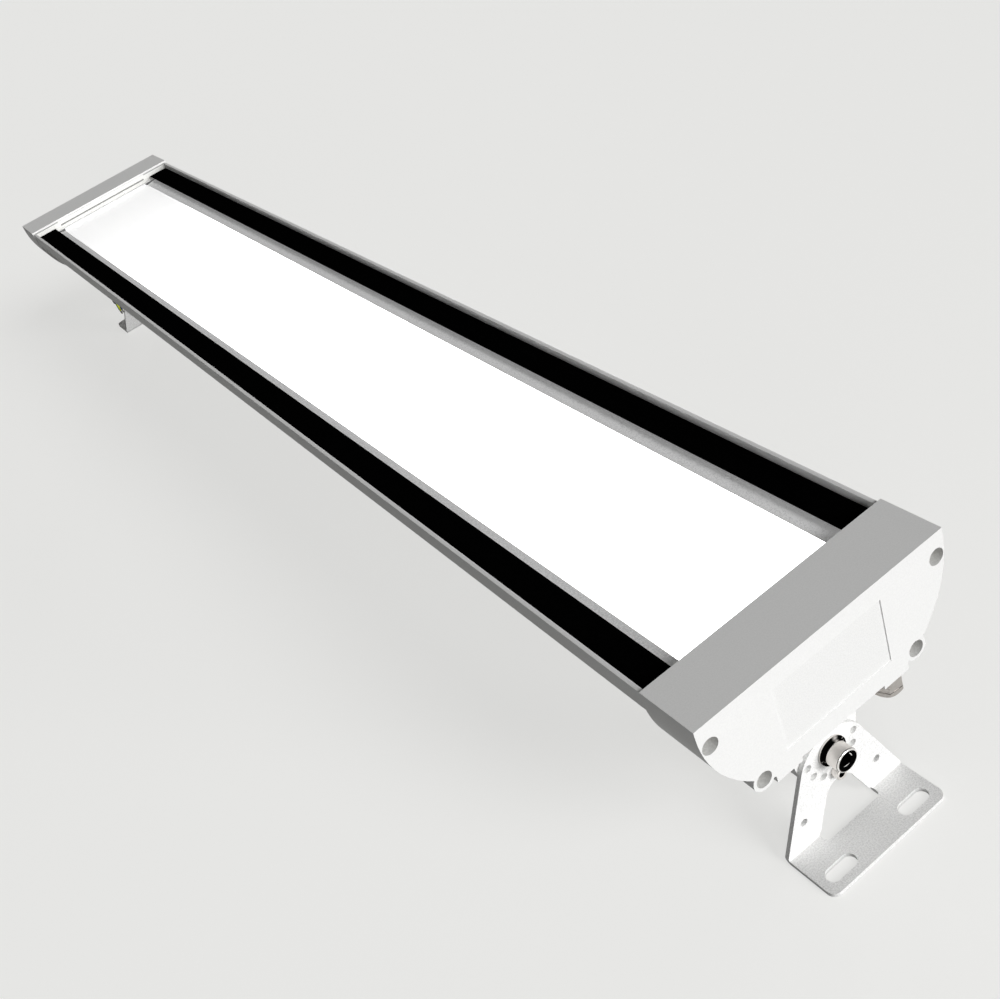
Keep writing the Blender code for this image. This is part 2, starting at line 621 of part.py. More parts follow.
def make_end_cap():
    """Die-cast cap for the far end: a box open to the housing, with ears, pads and a pivot lug."""
    cap = prism("far_end_cap", [cap_outline(0, CAP_TOP)], "Y", CAP_BACK, CAP_FRONT)
    for side in (-1, 1):
        ear = circle(side * LOWER_SCREW_X, LOWER_SCREW_Z, CAP_EAR_RADIUS, ROUND_TURN)
        inner, outer = sorted((side * (ENTRY_X - CAP_PAD_INWARD),
                               side * (ENTRY_X + CAP_PAD_OUTWARD)))
        pad = rectangle(inner, outer, PAD_BOTTOM, CAP_BOTTOM + CAP_WALL)
        fuse(cap, prism("ear", [ear], "Y", CAP_BACK, CAP_FRONT),
             prism("pad", [pad], "Y", CAP_BACK, CAP_FRONT))
    lug = arc(0, PIVOT_HEIGHT, LUG_RADIUS, -pi, 0, ROUND_TURN // 2)
    lug += [(LUG_TOP_HALF, CAP_BOTTOM), (LUG_TOP_HALF, CAP_BOTTOM + CAP_WALL / 2),
            (-LUG_TOP_HALF, CAP_BOTTOM + CAP_WALL / 2), (-LUG_TOP_HALF, CAP_BOTTOM)]
    fuse(cap, prism("lug", [lug], "Y", LUG_BACK, LUG_FRONT))
    inner_front = CAP_FRONT - CAP_WALL
    cut(cap, prism("cavity", [mouth_outline(CAP_TOP - CAP_WALL)], "Y",
                   CAP_BACK + CAP_MOUTH_LIP, inner_front))
    cut(cap, prism("mouth", [mouth_outline(CAP_TOP - CAP_MOUTH_DROP)], "Y",
                   CAP_BACK - OVERRUN, CAP_BACK + CAP_MOUTH_LIP + OVERRUN))
    boss = circle(-ENTRY_X, ENTRY_Y, ENTRY_BOSS_RADIUS, ROUND_TURN)
    fuse(cap, prism("boss", [boss], "Z", CAP_BOTTOM + CAP_WALL / 2, CAP_BOTTOM + ENTRY_BOSS_RISE))
    thread = circle(-ENTRY_X, ENTRY_Y, ENTRY_THREAD_RADIUS + CLEARANCE, ROUND_TURN)
    cut(cap, prism("thread", [thread], "Z", PAD_BOTTOM - OVERRUN,
                   CAP_BOTTOM + ENTRY_BOSS_RISE + OVERRUN))
    label = rectangle(LABEL_INSET - SIDE, SIDE - LABEL_INSET, CAP_BOTTOM + LABEL_RISE,
                      CAP_TOP - LABEL_DROP)
    cut(cap, prism("label", [label], "Y", CAP_FRONT - LABEL_DEPTH, CAP_FRONT + OVERRUN))
    sinks = [prism("sink", [circle(x, z, SINK_RADIUS, ROUND_TURN)], "Y",
                   CAP_FRONT - CAP_SCREW_SINK_DEPTH, CAP_FRONT + OVERRUN)
             for x, z in cap_screw_places()]
    bores = [prism("bore", [circle(x, z, PORT_RADIUS, SMALL_TURN)], "Y",
                   CAP_BACK - OVERRUN, CAP_FRONT) for x, z in cap_screw_places()]
    lug_holes = [prism("lug_hole", [circle(0, z, radius, ROUND_TURN)], "Y",
                       LUG_BACK - OVERRUN, LUG_FRONT + OVERRUN)
                 for z, radius in ((PIVOT_HEIGHT, BOLT_RADIUS + CLEARANCE),
                                   (PIVOT_HEIGHT - INDEX_CIRCLE_RADIUS,
                                    INDEX_SCREW_RADIUS + CLEARANCE))]
    cut(cap, joined(sinks), joined(bores), joined(lug_holes))
    return paint(cap, *POWDER)


def make_gasket():
    outer = CAP_BACK - CLEARANCE
    inner = outer - GASKET_THICKNESS
    ports = [circle(x, z, PORT_RADIUS, SMALL_TURN) for x, z in upper_screw_places()]
    loops = [cap_outline(GASKET_INSET, RAIL_TOP), mouth_outline(CAP_TOP - CAP_MOUTH_DROP)]
    gasket = prism("far_end_gasket", loops + ports, "Y", inner, outer)
    for x, z in lower_screw_places():
        ear = circle(x, z, CAP_EAR_RADIUS - GASKET_INSET, ROUND_TURN)
        port = circle(x, z, PORT_RADIUS, SMALL_TURN)
        fuse(gasket, prism("ear", [ear], "Y", inner, outer))
        cut(gasket, prism("port", [port], "Y", inner - OVERRUN, outer + OVERRUN))
    return paint(gasket, (0.80, 0.80, 0.79), 0.6)


def make_cap_screws():
    """Four socket-head screws, from the cap's sinks into the ports of the housing."""
    seat = CAP_FRONT - CAP_SCREW_SINK_DEPTH + CLEARANCE
    length = seat - HOUSING_END + CAP_SCREW_BITE
    head_top = CAP_SCREW_HEAD_HEIGHT
    profile = [(0, -length), (CAP_SCREW_RADIUS, -length),
               (CAP_SCREW_RADIUS, 0), (CAP_SCREW_HEAD_RADIUS, 0),
               (CAP_SCREW_HEAD_RADIUS, head_top), (CAP_SCREW_SOCKET_RADIUS, head_top),
               (CAP_SCREW_SOCKET_RADIUS, head_top - CAP_SCREW_SOCKET_DEPTH),
               (0, head_top - CAP_SCREW_SOCKET_DEPTH)]
    screws = []
    for index, (x, z) in enumerate(cap_screw_places(), 1):
        screw = turned(f"far_cap_screw_{index}", profile, SMALL_TURN, *STEEL)
        screws.append(moved(screw, x, seat, z, UPRIGHT_TO_OUTWARD))
    return screws


def make_glass():
    outline = rectangle(-GLASS_HALF, GLASS_HALF, -HOUSING_END, HOUSING_END)
    return prism("cover_glass", [outline], "Z", GLASS_BOTTOM, GLASS_TOP,
                 (0.75, 0.78, 0.78), 0.05, 0.0)


def make_glass_seals():
    for side, name in ((-1, "left_glass_seal"), (1, "right_glass_seal")):
        inner, outer = sorted((side * (GLASS_HALF - SEAL_WIDTH), side * GLASS_HALF))
        strip = rectangle(inner, outer, -HOUSING_END, HOUSING_END)
        prism(name, [strip], "Z", SEAL_TOP - SEAL_THICKNESS, SEAL_TOP, *BLACK_RUBBER)


def bezel_outline(side):
    """Section of the strip beside the luminous opening: a flange on the ledge and a slope."""
    skirt_outer = LEDGE_HALF - CLEARANCE
    flange_bottom = SEAL_TOP - BEZEL_FLANGE
    outline = [(BEZEL_FLANGE_HALF, SEAL_TOP), (BEZEL_SLOPE_TOP_HALF, SEAL_TOP),
               (OPENING_HALF, BEZEL_BOTTOM + BEZEL_EDGE), (OPENING_HALF, BEZEL_BOTTOM),
               (skirt_outer, BEZEL_BOTTOM), (skirt_outer, flange_bottom),
               (BEZEL_FLANGE_HALF, flange_bottom)]
    return [(side * x, z) for x, z in outline]


def make_bezels():
    """Two long side bezels, and two U-shaped end bezels with short arms."""
    arm_end = HOUSING_END - END_BEZEL_ARM
    finish = ((0.52, 0.52, 0.52), 0.7, 0.0)
    for side, name in ((-1, "left_bezel"), (1, "right_bezel")):
        reach = arm_end - CLEARANCE
        prism(name, [bezel_outline(side)], "Y", -reach, reach, *finish)
    flange_bottom = SEAL_TOP - BEZEL_FLANGE
    bezel = prism("far_end_bezel", [end_bezel_plan(BEZEL_FLANGE_HALF)], "Z",
                  flange_bottom, SEAL_TOP)
    fuse(bezel, prism("skirt", [end_bezel_plan(LEDGE_HALF - CLEARANCE)], "Z", BEZEL_BOTTOM,
                      flange_bottom + BEZEL_FLANGE / 2))
    slope = (BEZEL_SLOPE_TOP_HALF - OPENING_HALF) / (SEAL_TOP - BEZEL_BOTTOM - BEZEL_EDGE)
    top_half = BEZEL_SLOPE_TOP_HALF + slope * OVERRUN
    wedge = [(-OPENING_HALF, BEZEL_BOTTOM + BEZEL_EDGE), (OPENING_HALF, BEZEL_BOTTOM + BEZEL_EDGE),
             (top_half, SEAL_TOP + OVERRUN), (-top_half, SEAL_TOP + OVERRUN)]
    cut(bezel, prism("wedge", [wedge], "Y", arm_end - OVERRUN, HOUSING_END - END_BEZEL_BAR))
    return paint(bezel, (0.84, 0.84, 0.84), 0.6)


def end_bezel_plan(outer_half):
    """A U that opens towards the middle of the light, round in its two inner corners."""
    arm_end, bar_inner = HOUSING_END - END_BEZEL_ARM, HOUSING_END - END_BEZEL_BAR
    corner_y = bar_inner - END_BEZEL_CORNER
    half = [(0, HOUSING_END), (outer_half, HOUSING_END), (outer_half, arm_end),
            (OPENING_HALF, arm_end)]
    half += arc(OPENING_HALF - END_BEZEL_CORNER, corner_y, END_BEZEL_CORNER, 0, pi / 2,
                CORNER_STEPS)
    return half + [(-x, y) for x, y in reversed(half[1:])]


def make_diffuser():
    half = LEDGE_HALF - CLEARANCE
    outline = rectangle(-half, half, -HOUSING_END, HOUSING_END)
    return prism("diffuser", [outline], "Z", DIFFUSER_TOP - DIFFUSER_THICKNESS, DIFFUSER_TOP,
                 (0.93, 0.93, 0.93), 0.5, 0.0)


def make_lamp_boards():
    """Metal-core boards on the web, each with its diodes, a feed plug and a plug at each end."""
    sunk = BOARD_TOP - BOARD_THICKNESS / 2
    plug_half = BOARD_PLUG_SIZE / 2
    for index, middle in enumerate(board_middles(), 1):
        half_length = BOARD_LENGTH / 2
        outline = rectangle(-BOARD_HALF, BOARD_HALF, middle - half_length, middle + half_length)
        board = prism(f"led_board_{index}", [outline], "Z", BOARD_TOP - BOARD_THICKNESS, BOARD_TOP)
        on_board = []
        for row in range(DIODE_ROWS):
            x = (row - (DIODE_ROWS - 1) / 2) * DIODE_ROW_PITCH
            for column in range(DIODE_COLUMNS):
                y = middle + (column - (DIODE_COLUMNS - 1) / 2) * BOARD_LENGTH / DIODE_COLUMNS
                on_board.append(square_block(x, y, DIODE_SIZE, sunk, BOARD_TOP + DIODE_HEIGHT))
        end = half_length - BOARD_PLUG_INSET - plug_half
        plugs = [(feed_plug_x(), middle), (LINK_PLUG_X, middle - end), (LINK_PLUG_X, middle + end)]
        on_board += [square_block(x, y, BOARD_PLUG_SIZE, sunk, BOARD_TOP + BOARD_PLUG_HEIGHT)
                     for x, y in plugs]
        fuse(board, joined(on_board))
        paint(board, *WHITE_PLASTIC)


def square_block(x, y, size, low, high):
    half = size / 2
    return prism("block", [rectangle(x - half, x + half, y - half, y + half)], "Z", low, high)


def feed_plug_x():
    return BOARD_HALF - BOARD_PLUG_INSET - BOARD_PLUG_SIZE / 2


def make_gear():
    """Sheet tray under the web, with the driver, surge protector and terminal block on it."""
    tray_end = HOUSING_END - TRAY_SETBACK
    tray = rectangle(-TRAY_HALF, TRAY_HALF, -tray_end, tray_end)
    prism("gear_tray", [tray], "Z", TRAY_TOP - TRAY_THICKNESS, TRAY_TOP, *ALUMINIUM)
    make_gear_box("led_driver", DRIVER_Y, DRIVER_LENGTH, 2 * (TRAY_HALF - DRIVER_INSET),
                  DRIVER_HEIGHT, ((0.75, 0.75, 0.76), 0.4))
    make_gear_box("surge_protector", SURGE_Y, SURGE_LENGTH, SURGE_WIDTH, SURGE_HEIGHT,
                  ((0.08, 0.08, 0.09), 0.4))
    block = make_gear_box("terminal_block", TERMINAL_Y, TERMINAL_LENGTH, TERMINAL_WIDTH,
                          TERMINAL_HEIGHT, ((0.80, 0.78, 0.72), 0.5))
    top = GEAR_BASE + TERMINAL_HEIGHT
    clamps = []
    for pole in range(TERMINAL_POLES):
        x = (pole - (TERMINAL_POLES - 1) / 2) * TERMINAL_WIDTH / TERMINAL_POLES
        clamp = circle(x, TERMINAL_Y, TERMINAL_SCREW_RADIUS, SMALL_TURN)
        clamps.append(prism("clamp", [clamp], "Z", top - TERMINAL_SCREW_RISE,
                            top + TERMINAL_SCREW_RISE))
    fuse(block, joined(clamps))


def make_gear_box(name, place, length, width, height, finish):
    """A box with chamfered top edges and a fixing tab at each end."""
    half, top = width / 2, GEAR_BASE + height
    section = [(-half, GEAR_BASE), (half, GEAR_BASE), (half, top - GEAR_CORNER),
               (half - GEAR_CORNER, top), (-half + GEAR_CORNER, top), (-half, top - GEAR_CORNER)]
    box = prism(name, [section], "Y", place - length / 2, place + length / 2)
    reach = length / 2 + GEAR_TAB_LENGTH
    tabs = rectangle(-half / 2, half / 2, place - reach, place + reach)
    fuse(box, prism("tabs", [tabs], "Z", GEAR_BASE, GEAR_BASE + GEAR_TAB_THICKNESS))
    return paint(box, *finish)


def make_wiring():
    """Leads from the terminals to the surge protector, the driver and the boards."""
    height = GEAR_BASE + LEAD_RISE
    driver_end = DRIVER_Y + DRIVER_LENGTH / 2
    surge_start, surge_end = SURGE_Y - SURGE_LENGTH / 2, SURGE_Y + SURGE_LENGTH / 2
    terminal_start = TERMINAL_Y - TERMINAL_LENGTH / 2
    for name, first, last in (("surge_to_driver_lead", driver_end, surge_start),
                              ("terminal_to_surge_lead", surge_end, terminal_start)):
        start, end = first + CLEARANCE, last - CLEARANCE
        middle = (start + end) / 2
        tube(name, [(LEAD_X, start, height), (LEAD_X, start + LEAD_STRAIGHT, height),
                    (LEAD_X + LEAD_BOW / 2, middle, height), (LEAD_X, end - LEAD_STRAIGHT, height),
                    (LEAD_X, end, height)], LEAD_RADIUS, *BLACK_CABLE)
    make_driver_lead(height)
    middles = board_middles()
    link_height = BOARD_TOP + BOARD_PLUG_HEIGHT / 2
    reach = BOARD_LENGTH / 2 - BOARD_PLUG_INSET + CLEARANCE
    for index, (first, last) in enumerate(zip(middles, middles[1:]), 1):
        tube(f"board_link_lead_{index}",
             [(LINK_PLUG_X, first + reach, link_height), (LINK_PLUG_X, last - reach, link_height)],
             LINK_LEAD_RADIUS, *BLACK_CABLE)


def make_driver_lead(height):
    """Goes from the driver through a rubber grommet in the web, then on to a board's feed plug."""
    x, y = GROMMET_X, GROMMET_Y
    start = DRIVER_Y - DRIVER_LENGTH / 2 - CLEARANCE
    board = min(board_middles(), key=lambda middle: abs(middle - y))
    low, high = WEB_BOTTOM - LEAD_STRAIGHT, WEB_TOP + LEAD_STRAIGHT
    over = BOARD_TOP + BOARD_PLUG_HEIGHT / 2
    entry = feed_plug_x() + BOARD_PLUG_SIZE / 2 + CLEARANCE
    route = [(LEAD_X, start, height), (LEAD_X, start - LEAD_STRAIGHT, height),
             (LEAD_X + LEAD_BOW, start - 2 * LEAD_BOW, height),
             (x - LEAD_BOW, y + LEAD_STRAIGHT / 2, height + LEAD_RADIUS),
             (x, y, low - LEAD_STRAIGHT / 2), (x, y, low), (x, y, high),
             (x, y, high + LEAD_RADIUS)]
    for share, rise in zip(LEAD_WAY_SHARES, (high + LEAD_RADIUS, over, over)):
        route.append((x, y + share * (board - y), rise))
    route += [(entry + LEAD_STRAIGHT, board, over), (entry, board, over)]
    tube("driver_to_board_lead", route, LEAD_RADIUS, *BLACK_CABLE)
    inner, outer = LEAD_RADIUS + CLEARANCE, LEAD_RADIUS + GROMMET_WALL
    flange = outer + GROMMET_REACH
    low, high = WEB_BOTTOM - CLEARANCE, WEB_TOP + CLEARANCE
    profile = [(inner, low - GROMMET_WALL), (flange, low - GROMMET_WALL), (flange, low),
               (outer, low), (outer, high), (flange, high), (flange, high + GROMMET_WALL),
               (inner, high + GROMMET_WALL)]
    moved(turned_ring("web_grommet", profile, SMALL_TURN, *BLACK_RUBBER), x, y)


def hex_bar(low, high):
    return prism("hex", [hexagon(ENTRY_HEX_ACROSS, ENTRY_TURN_DEGREES)], "Z", low, high)


def make_entry_seal(name):
    profile = [(ENTRY_THREAD_RADIUS + CLEARANCE, -ENTRY_SEAL_THICKNESS),
               (ENTRY_SEAL_RADIUS, -ENTRY_SEAL_THICKNESS), (ENTRY_SEAL_RADIUS, 0),
               (ENTRY_THREAD_RADIUS + CLEARANCE, 0)]
    seal = turned_ring(name, profile, ROUND_TURN, *BLACK_RUBBER)
    return moved(seal, -ENTRY_X, ENTRY_Y, PAD_BOTTOM - CLEARANCE)


def make_vent_plug():
    """Pressure-balancing plug: a threaded hexagon with a groove above its chamfered foot."""
    seat = -CLEARANCE - ENTRY_SEAL_THICKNESS - CLEARANCE
    foot = -ENTRY_DEPTH
    groove = foot + VENT_FOOT_HEIGHT
    corner = ENTRY_HEX_ACROSS / sqrt(3)
    waist = ENTRY_HEX_ACROSS / 2 - VENT_GROOVE_DEPTH
    plug = hex_bar(foot, seat)
    envelope = [(0, foot), (corner - VENT_CHAMFER, foot), (corner, foot + VENT_CHAMFER),
                (corner, groove), (waist, groove), (waist, groove + VENT_GROOVE_HEIGHT),
                (corner, groove + VENT_GROOVE_HEIGHT), (corner, seat - VENT_CHAMFER / 4),
                (corner - VENT_CHAMFER / 2, seat), (0, seat)]
    combine(plug, turned("envelope", envelope, FINE_TURN), "INTERSECT")
    thread = circle(0, 0, ENTRY_THREAD_RADIUS, ROUND_TURN)
    fuse(plug, prism("thread", [thread], "Z", seat - OVERRUN,
                     CAP_BOTTOM + ENTRY_THREAD_RISE - PAD_BOTTOM))
    moved(plug, -ENTRY_X, ENTRY_Y, PAD_BOTTOM)
    plug.name = "vent_plug"
    return paint(plug, *NICKEL)


def make_gland():
    """Cable gland: threaded body with a hexagon, rubber sleeve and dome nut."""
    seat = -CLEARANCE - ENTRY_SEAL_THICKNESS - CLEARANCE
    hex_low = seat - GLAND_HEX_HEIGHT
    mouth = -ENTRY_DEPTH
    spigot_low = mouth + GLAND_NUT_WALL + CLEARANCE
    bore = CABLE_RADIUS + CLEARANCE
    sleeve_bore = GLAND_SPIGOT_RADIUS - GLAND_SPIGOT_WALL
    body = hex_bar(hex_low, seat)
    thread_top = CAP_BOTTOM + ENTRY_THREAD_RISE - PAD_BOTTOM
    fuse(body,
         prism("thread", [circle(0, 0, ENTRY_THREAD_RADIUS, ROUND_TURN)], "Z",
               seat - GLAND_HEX_HEIGHT / 2, thread_top),
         prism("spigot", [circle(0, 0, GLAND_SPIGOT_RADIUS, ROUND_TURN)], "Z",
               spigot_low, seat - GLAND_HEX_HEIGHT / 2))
    cut(body,
        prism("bore", [circle(0, 0, bore, ROUND_TURN)], "Z", spigot_low - OVERRUN,
              thread_top + OVERRUN),
        prism("sleeve", [circle(0, 0, sleeve_bore, ROUND_TURN)], "Z", spigot_low - OVERRUN,
              hex_low))
    body.name = "gland_body"
    paint(body, *NICKEL)
    sleeve_outer = sleeve_bore - CLEARANCE
    sleeve = [(bore, spigot_low), (sleeve_outer, spigot_low),
              (sleeve_outer, hex_low - CLEARANCE), (bore, hex_low - CLEARANCE)]
    seal = turned_ring("gland_sleeve", sleeve, ROUND_TURN, *BLACK_RUBBER)
    nut_top = hex_low - CLEARANCE
    nut_bore = GLAND_SPIGOT_RADIUS + CLEARANCE
    nut_inside = mouth + GLAND_NUT_WALL
    nut_mouth = CABLE_RADIUS + GLAND_MOUTH_GAP
    nut_profile = [(GLAND_NUT_RADIUS, nut_top), (nut_bore, nut_top), (nut_bore, nut_inside),
                   (nut_mouth, nut_inside), (nut_mouth, mouth)]
    dome = GLAND_NUT_RADIUS - GLAND_DOME_TOP_RADIUS
    nut_profile += [(GLAND_DOME_TOP_RADIUS + dome * sin(turn),
                     mouth + GLAND_DOME_HEIGHT * (1 - cos(turn)))
                    for turn in (pi / 2 * step / 4 for step in range(5))]
    nut = turned_ring("gland_nut", nut_profile, FINE_TURN, *NICKEL)
    for piece in (body, seal, nut):
        moved(piece, -ENTRY_X, ENTRY_Y, PAD_BOTTOM)


def make_supply_cable():
    """Cable stub that hangs from the gland, its bared cores, and the run inside to the terminals."""
    mouth = Vector((-ENTRY_X, ENTRY_Y, PAD_BOTTOM - ENTRY_DEPTH))
    down, inward = Vector((0, 0, -1)), Vector((1, 0, 0))
    start = mouth + CLEARANCE * down
    end = start + CABLE_FREE_LENGTH * down + CABLE_LEAN * inward
    lean = (end - start - CABLE_HANG * down).normalized()
    tube("supply_cable", [start, start + CABLE_HANG * down, end - CABLE_END * lean, end],
         CABLE_RADIUS, *BLACK_CABLE)
    turn_to_lean = lean.to_track_quat("Z", "Y").to_matrix().to_4x4()
    bare = CORE_LENGTH - CORE_TIP_LENGTH
    profile = [(0, 0), (CORE_RADIUS, 0), (CORE_RADIUS, bare), (CORE_TIP_RADIUS, bare),
               (CORE_TIP_RADIUS, CORE_LENGTH), (0, CORE_LENGTH)]
    colours = {"blue": (0.05, 0.13, 0.45), "brown": (0.22, 0.09, 0.05), "earth": (0.28, 0.62, 0.08)}
    across, ahead = turn_to_lean.col[0].xyz, turn_to_lean.col[1].xyz
    for index, (name, colour) in enumerate(colours.items()):
        turn = 2 * pi * index / len(colours)
        place = end + CLEARANCE * lean + CORE_OFFSET * (sin(turn) * across + cos(turn) * ahead)
        core = turned(f"{name}_core", profile, SMALL_TURN, colour, 0.45)
        moved(core, *place, turn_to_lean)
    terminals = Vector((LEAD_X - LEAD_BOW, TERMINAL_Y + TERMINAL_LENGTH / 2 + CLEARANCE,
                        GEAR_BASE + LEAD_RISE))
    out = Vector((0, 1, 0))
    above = Vector((-ENTRY_X, ENTRY_Y, CAP_BOTTOM + ENTRY_THREAD_RISE))
    loop_top = Vector((-ENTRY_X, ENTRY_Y - CABLE_LOOP_REACH, CAP_BOTTOM + CABLE_LOOP_RISE))
    inside = [mouth, mouth - ENTRY_DEPTH * down, above, above - CABLE_RADIUS * down,
              loop_top, terminals + CABLE_LEAD_IN * out + CABLE_RADIUS * (out - inward),
              terminals + CABLE_LEAD_IN * out / 2, terminals]
    tube("supply_cable_inside", inside, CABLE_RADIUS, *BLACK_CABLE)


def slanted_side(corner_x, corner_z, centre_z, radius):
    """A straight side from a corner to a round top, which it touches, and on over the whole top."""
    reach = sqrt(corner_x ** 2 + (corner_z - centre_z) ** 2)
    touch = atan2(corner_z - centre_z, corner_x) + acos(radius / reach)
    half = [(corner_x, corner_z)] + arc(0, centre_z, radius, touch, pi / 2, ARC_STEPS)
    return half + [(-x, z) for x, z in reversed(half[:-1])]


def bracket_plate_outline():
    """Front view of the bracket: a round top that runs down in straight lines to the wide foot."""
    sides = slanted_side(PLATE_FOOT_HALF, FOOT_TOP + PLATE_FOOT_RISE,
                         PIVOT_HEIGHT - PLATE_TOP_BELOW_PIVOT, PLATE_TOP_RADIUS)
    return [(PLATE_FOOT_HALF, -OVERRUN)] + sides + [(-PLATE_FOOT_HALF, -OVERRUN)]


def index_hole_places():
    steps = round(degrees(pi) / INDEX_STEP_DEGREES)
    turns = [radians(INDEX_STEP_DEGREES * step) for step in range(steps + 1)]
    return [(INDEX_CIRCLE_RADIUS * cos(turn), PIVOT_HEIGHT - INDEX_CIRCLE_RADIUS * sin(turn))
            for turn in turns]


def make_bracket():
    """Folded steel bracket for the far end: an upright plate with index holes, and a slotted foot."""
    outer_bend = BEND_RADIUS + SHEET
    bend_y, bend_z = PLATE_OUTER + BEND_RADIUS, FOOT_TOP + BEND_RADIUS
    foot_end = PLATE_OUTER + FOOT_REACH
    plate_top = PIVOT_HEIGHT + PLATE_TOP_RADIUS
    fold = [(foot_end, 0)]
    fold += arc(bend_y, bend_z, outer_bend, -pi / 2, -pi, CORNER_STEPS)
    fold += [(PLATE_INNER, plate_top), (PLATE_OUTER, plate_top)]
    fold += arc(bend_y, bend_z, BEND_RADIUS, pi, 3 * pi / 2, BEND_STEPS)
    fold.append((foot_end, FOOT_TOP))
    half = PLATE_FOOT_HALF + OVERRUN
    bracket = prism("far_bracket", [fold], "X", -half, half)
    leg_z = FOOT_TOP + LEG_HOLE_RISE
    holes = [circle(0, PIVOT_HEIGHT, PIVOT_HOLE_RADIUS, FINE_TURN)]
    holes += [circle(x, z, INDEX_HOLE_RADIUS, SMALL_TURN) for x, z in index_hole_places()]
    holes += [circle(side * SLOT_X, leg_z, LEG_HOLE_RADIUS, SMALL_TURN) for side in (-1, 1)]
    front = prism("front", [bracket_plate_outline()] + holes, "Y",
                  PLATE_INNER - OVERRUN, foot_end + OVERRUN)
    combine(bracket, front, "INTERSECT")
    plan = [(-PLATE_FOOT_HALF - OVERRUN, PLATE_INNER - OVERRUN),
            (PLATE_FOOT_HALF + OVERRUN, PLATE_INNER - OVERRUN)]
    edge = foot_end - FOOT_CORNER
    plan += [(PLATE_FOOT_HALF + OVERRUN, edge)]
    plan += arc(PLATE_FOOT_HALF - FOOT_CORNER, edge, FOOT_CORNER, 0, pi / 2, CORNER_STEPS)
    plan += arc(FOOT_CORNER - PLATE_FOOT_HALF, edge, FOOT_CORNER, pi / 2, pi, CORNER_STEPS)
    plan += [(-PLATE_FOOT_HALF - OVERRUN, edge)]
    slots = [slot_outline(side) for side in (-1, 1)]
    combine(bracket, prism("plan", [plan] + slots, "Z", -OVERRUN, plate_top + OVERRUN),
            "INTERSECT")
    cut_window(bracket)
    return paint(bracket, *POWDER)


def slot_outline(side):
    radius = SLOT_WIDTH / 2
    run = SLOT_LENGTH / 2 - radius
    middle = side * SLOT_X
    return (arc(middle + run, SLOT_Y, radius, -pi / 2, pi / 2, ARC_STEPS)
            + arc(middle - run, SLOT_Y, radius, pi / 2, 3 * pi / 2, ARC_STEPS))


def cut_window(bracket):
    """The triangular window, which runs down the plate and into the foot."""
    lowest_hole = PIVOT_HEIGHT - INDEX_CIRCLE_RADIUS - INDEX_HOLE_RADIUS
    apex_z = lowest_hole - WINDOW_BRIDGE - WINDOW_APEX_RADIUS
    sides = slanted_side(WINDOW_SIDE_HALF, FOOT_TOP + PLATE_FOOT_RISE, apex_z, WINDOW_APEX_RADIUS)
    upright = [(WINDOW_FOOT_HALF, -OVERRUN), (WINDOW_FOOT_HALF, FOOT_TOP), *sides,
               (-WINDOW_FOOT_HALF, FOOT_TOP), (-WINDOW_FOOT_HALF, -OVERRUN)]
    bend_end = PLATE_OUTER + BEND_RADIUS
    cut(bracket, prism("window", [upright], "Y", PLATE_INNER - OVERRUN, bend_end))
    low_y, high_y = bend_end - CLEARANCE, PLATE_OUTER + WINDOW_FOOT_REACH
    plan = [(-WINDOW_FOOT_HALF, low_y), (WINDOW_FOOT_HALF, low_y)]
    plan += arc(WINDOW_FOOT_HALF - WINDOW_CORNER, high_y - WINDOW_CORNER, WINDOW_CORNER,
                0, pi / 2, CORNER_STEPS)
    plan += arc(WINDOW_CORNER - WINDOW_FOOT_HALF, high_y - WINDOW_CORNER, WINDOW_CORNER,
                pi / 2, pi, CORNER_STEPS)
    cut(bracket, prism("window_foot", [plan], "Z", -OVERRUN, FOOT_TOP + OVERRUN))


def make_pivot_bolt():
    """Socket-head bolt through the bracket and lug. Its head is outside, beyond two washers."""
    washers = WASHER_THICKNESS + CLEARANCE + SPRING_WASHER_THICKNESS
    seat = PLATE_OUTER + CLEARANCE + washers + CLEARANCE
    tail = LUG_BACK - CLEARANCE - NUT_HEIGHT - BOLT_TAIL
    length = seat - tail
    top = BOLT_HEAD_HEIGHT
    profile = [(0, -length), (BOLT_RADIUS - BOLT_CHAMFER, -length),
               (BOLT_RADIUS, BOLT_CHAMFER - length), (BOLT_RADIUS, 0), (BOLT_HEAD_RADIUS, 0),
               (BOLT_HEAD_RADIUS, top - BOLT_CHAMFER), (BOLT_HEAD_RADIUS - BOLT_CHAMFER, top),
               (0, top)]
    bolt = turned("far_pivot_bolt", profile, FINE_TURN)
    cut(bolt, prism("socket", [hexagon(BOLT_SOCKET_ACROSS)], "Z", top - BOLT_SOCKET_DEPTH,
                    top + OVERRUN))
    moved(bolt, 0, seat, PIVOT_HEIGHT, UPRIGHT_TO_OUTWARD)
    return paint(bolt, *NICKEL)


def make_washers():
    bore = BOLT_RADIUS + CLEARANCE
    base = PLATE_OUTER + CLEARANCE
    sizes = (("far_pivot_washer", WASHER_RADIUS, WASHER_THICKNESS, base),
             ("far_spring_washer", SPRING_WASHER_RADIUS, SPRING_WASHER_THICKNESS,
              base + WASHER_THICKNESS + CLEARANCE))
    return [prism(name, [circle(0, PIVOT_HEIGHT, radius, FINE_TURN),
                         circle(0, PIVOT_HEIGHT, bore, FINE_TURN)], "Y",
                  low, low + thickness, *NICKEL)
            for name, radius, thickness, low in sizes]


def make_nut():
    outline = [(x, PIVOT_HEIGHT + z) for x, z in hexagon(NUT_ACROSS)]
    bore = circle(0, PIVOT_HEIGHT, BOLT_RADIUS + CLEARANCE, ROUND_TURN)
    high = LUG_BACK - CLEARANCE
    return prism("far_pivot_nut", [outline, bore], "Y", high - NUT_HEIGHT, high, *NICKEL)


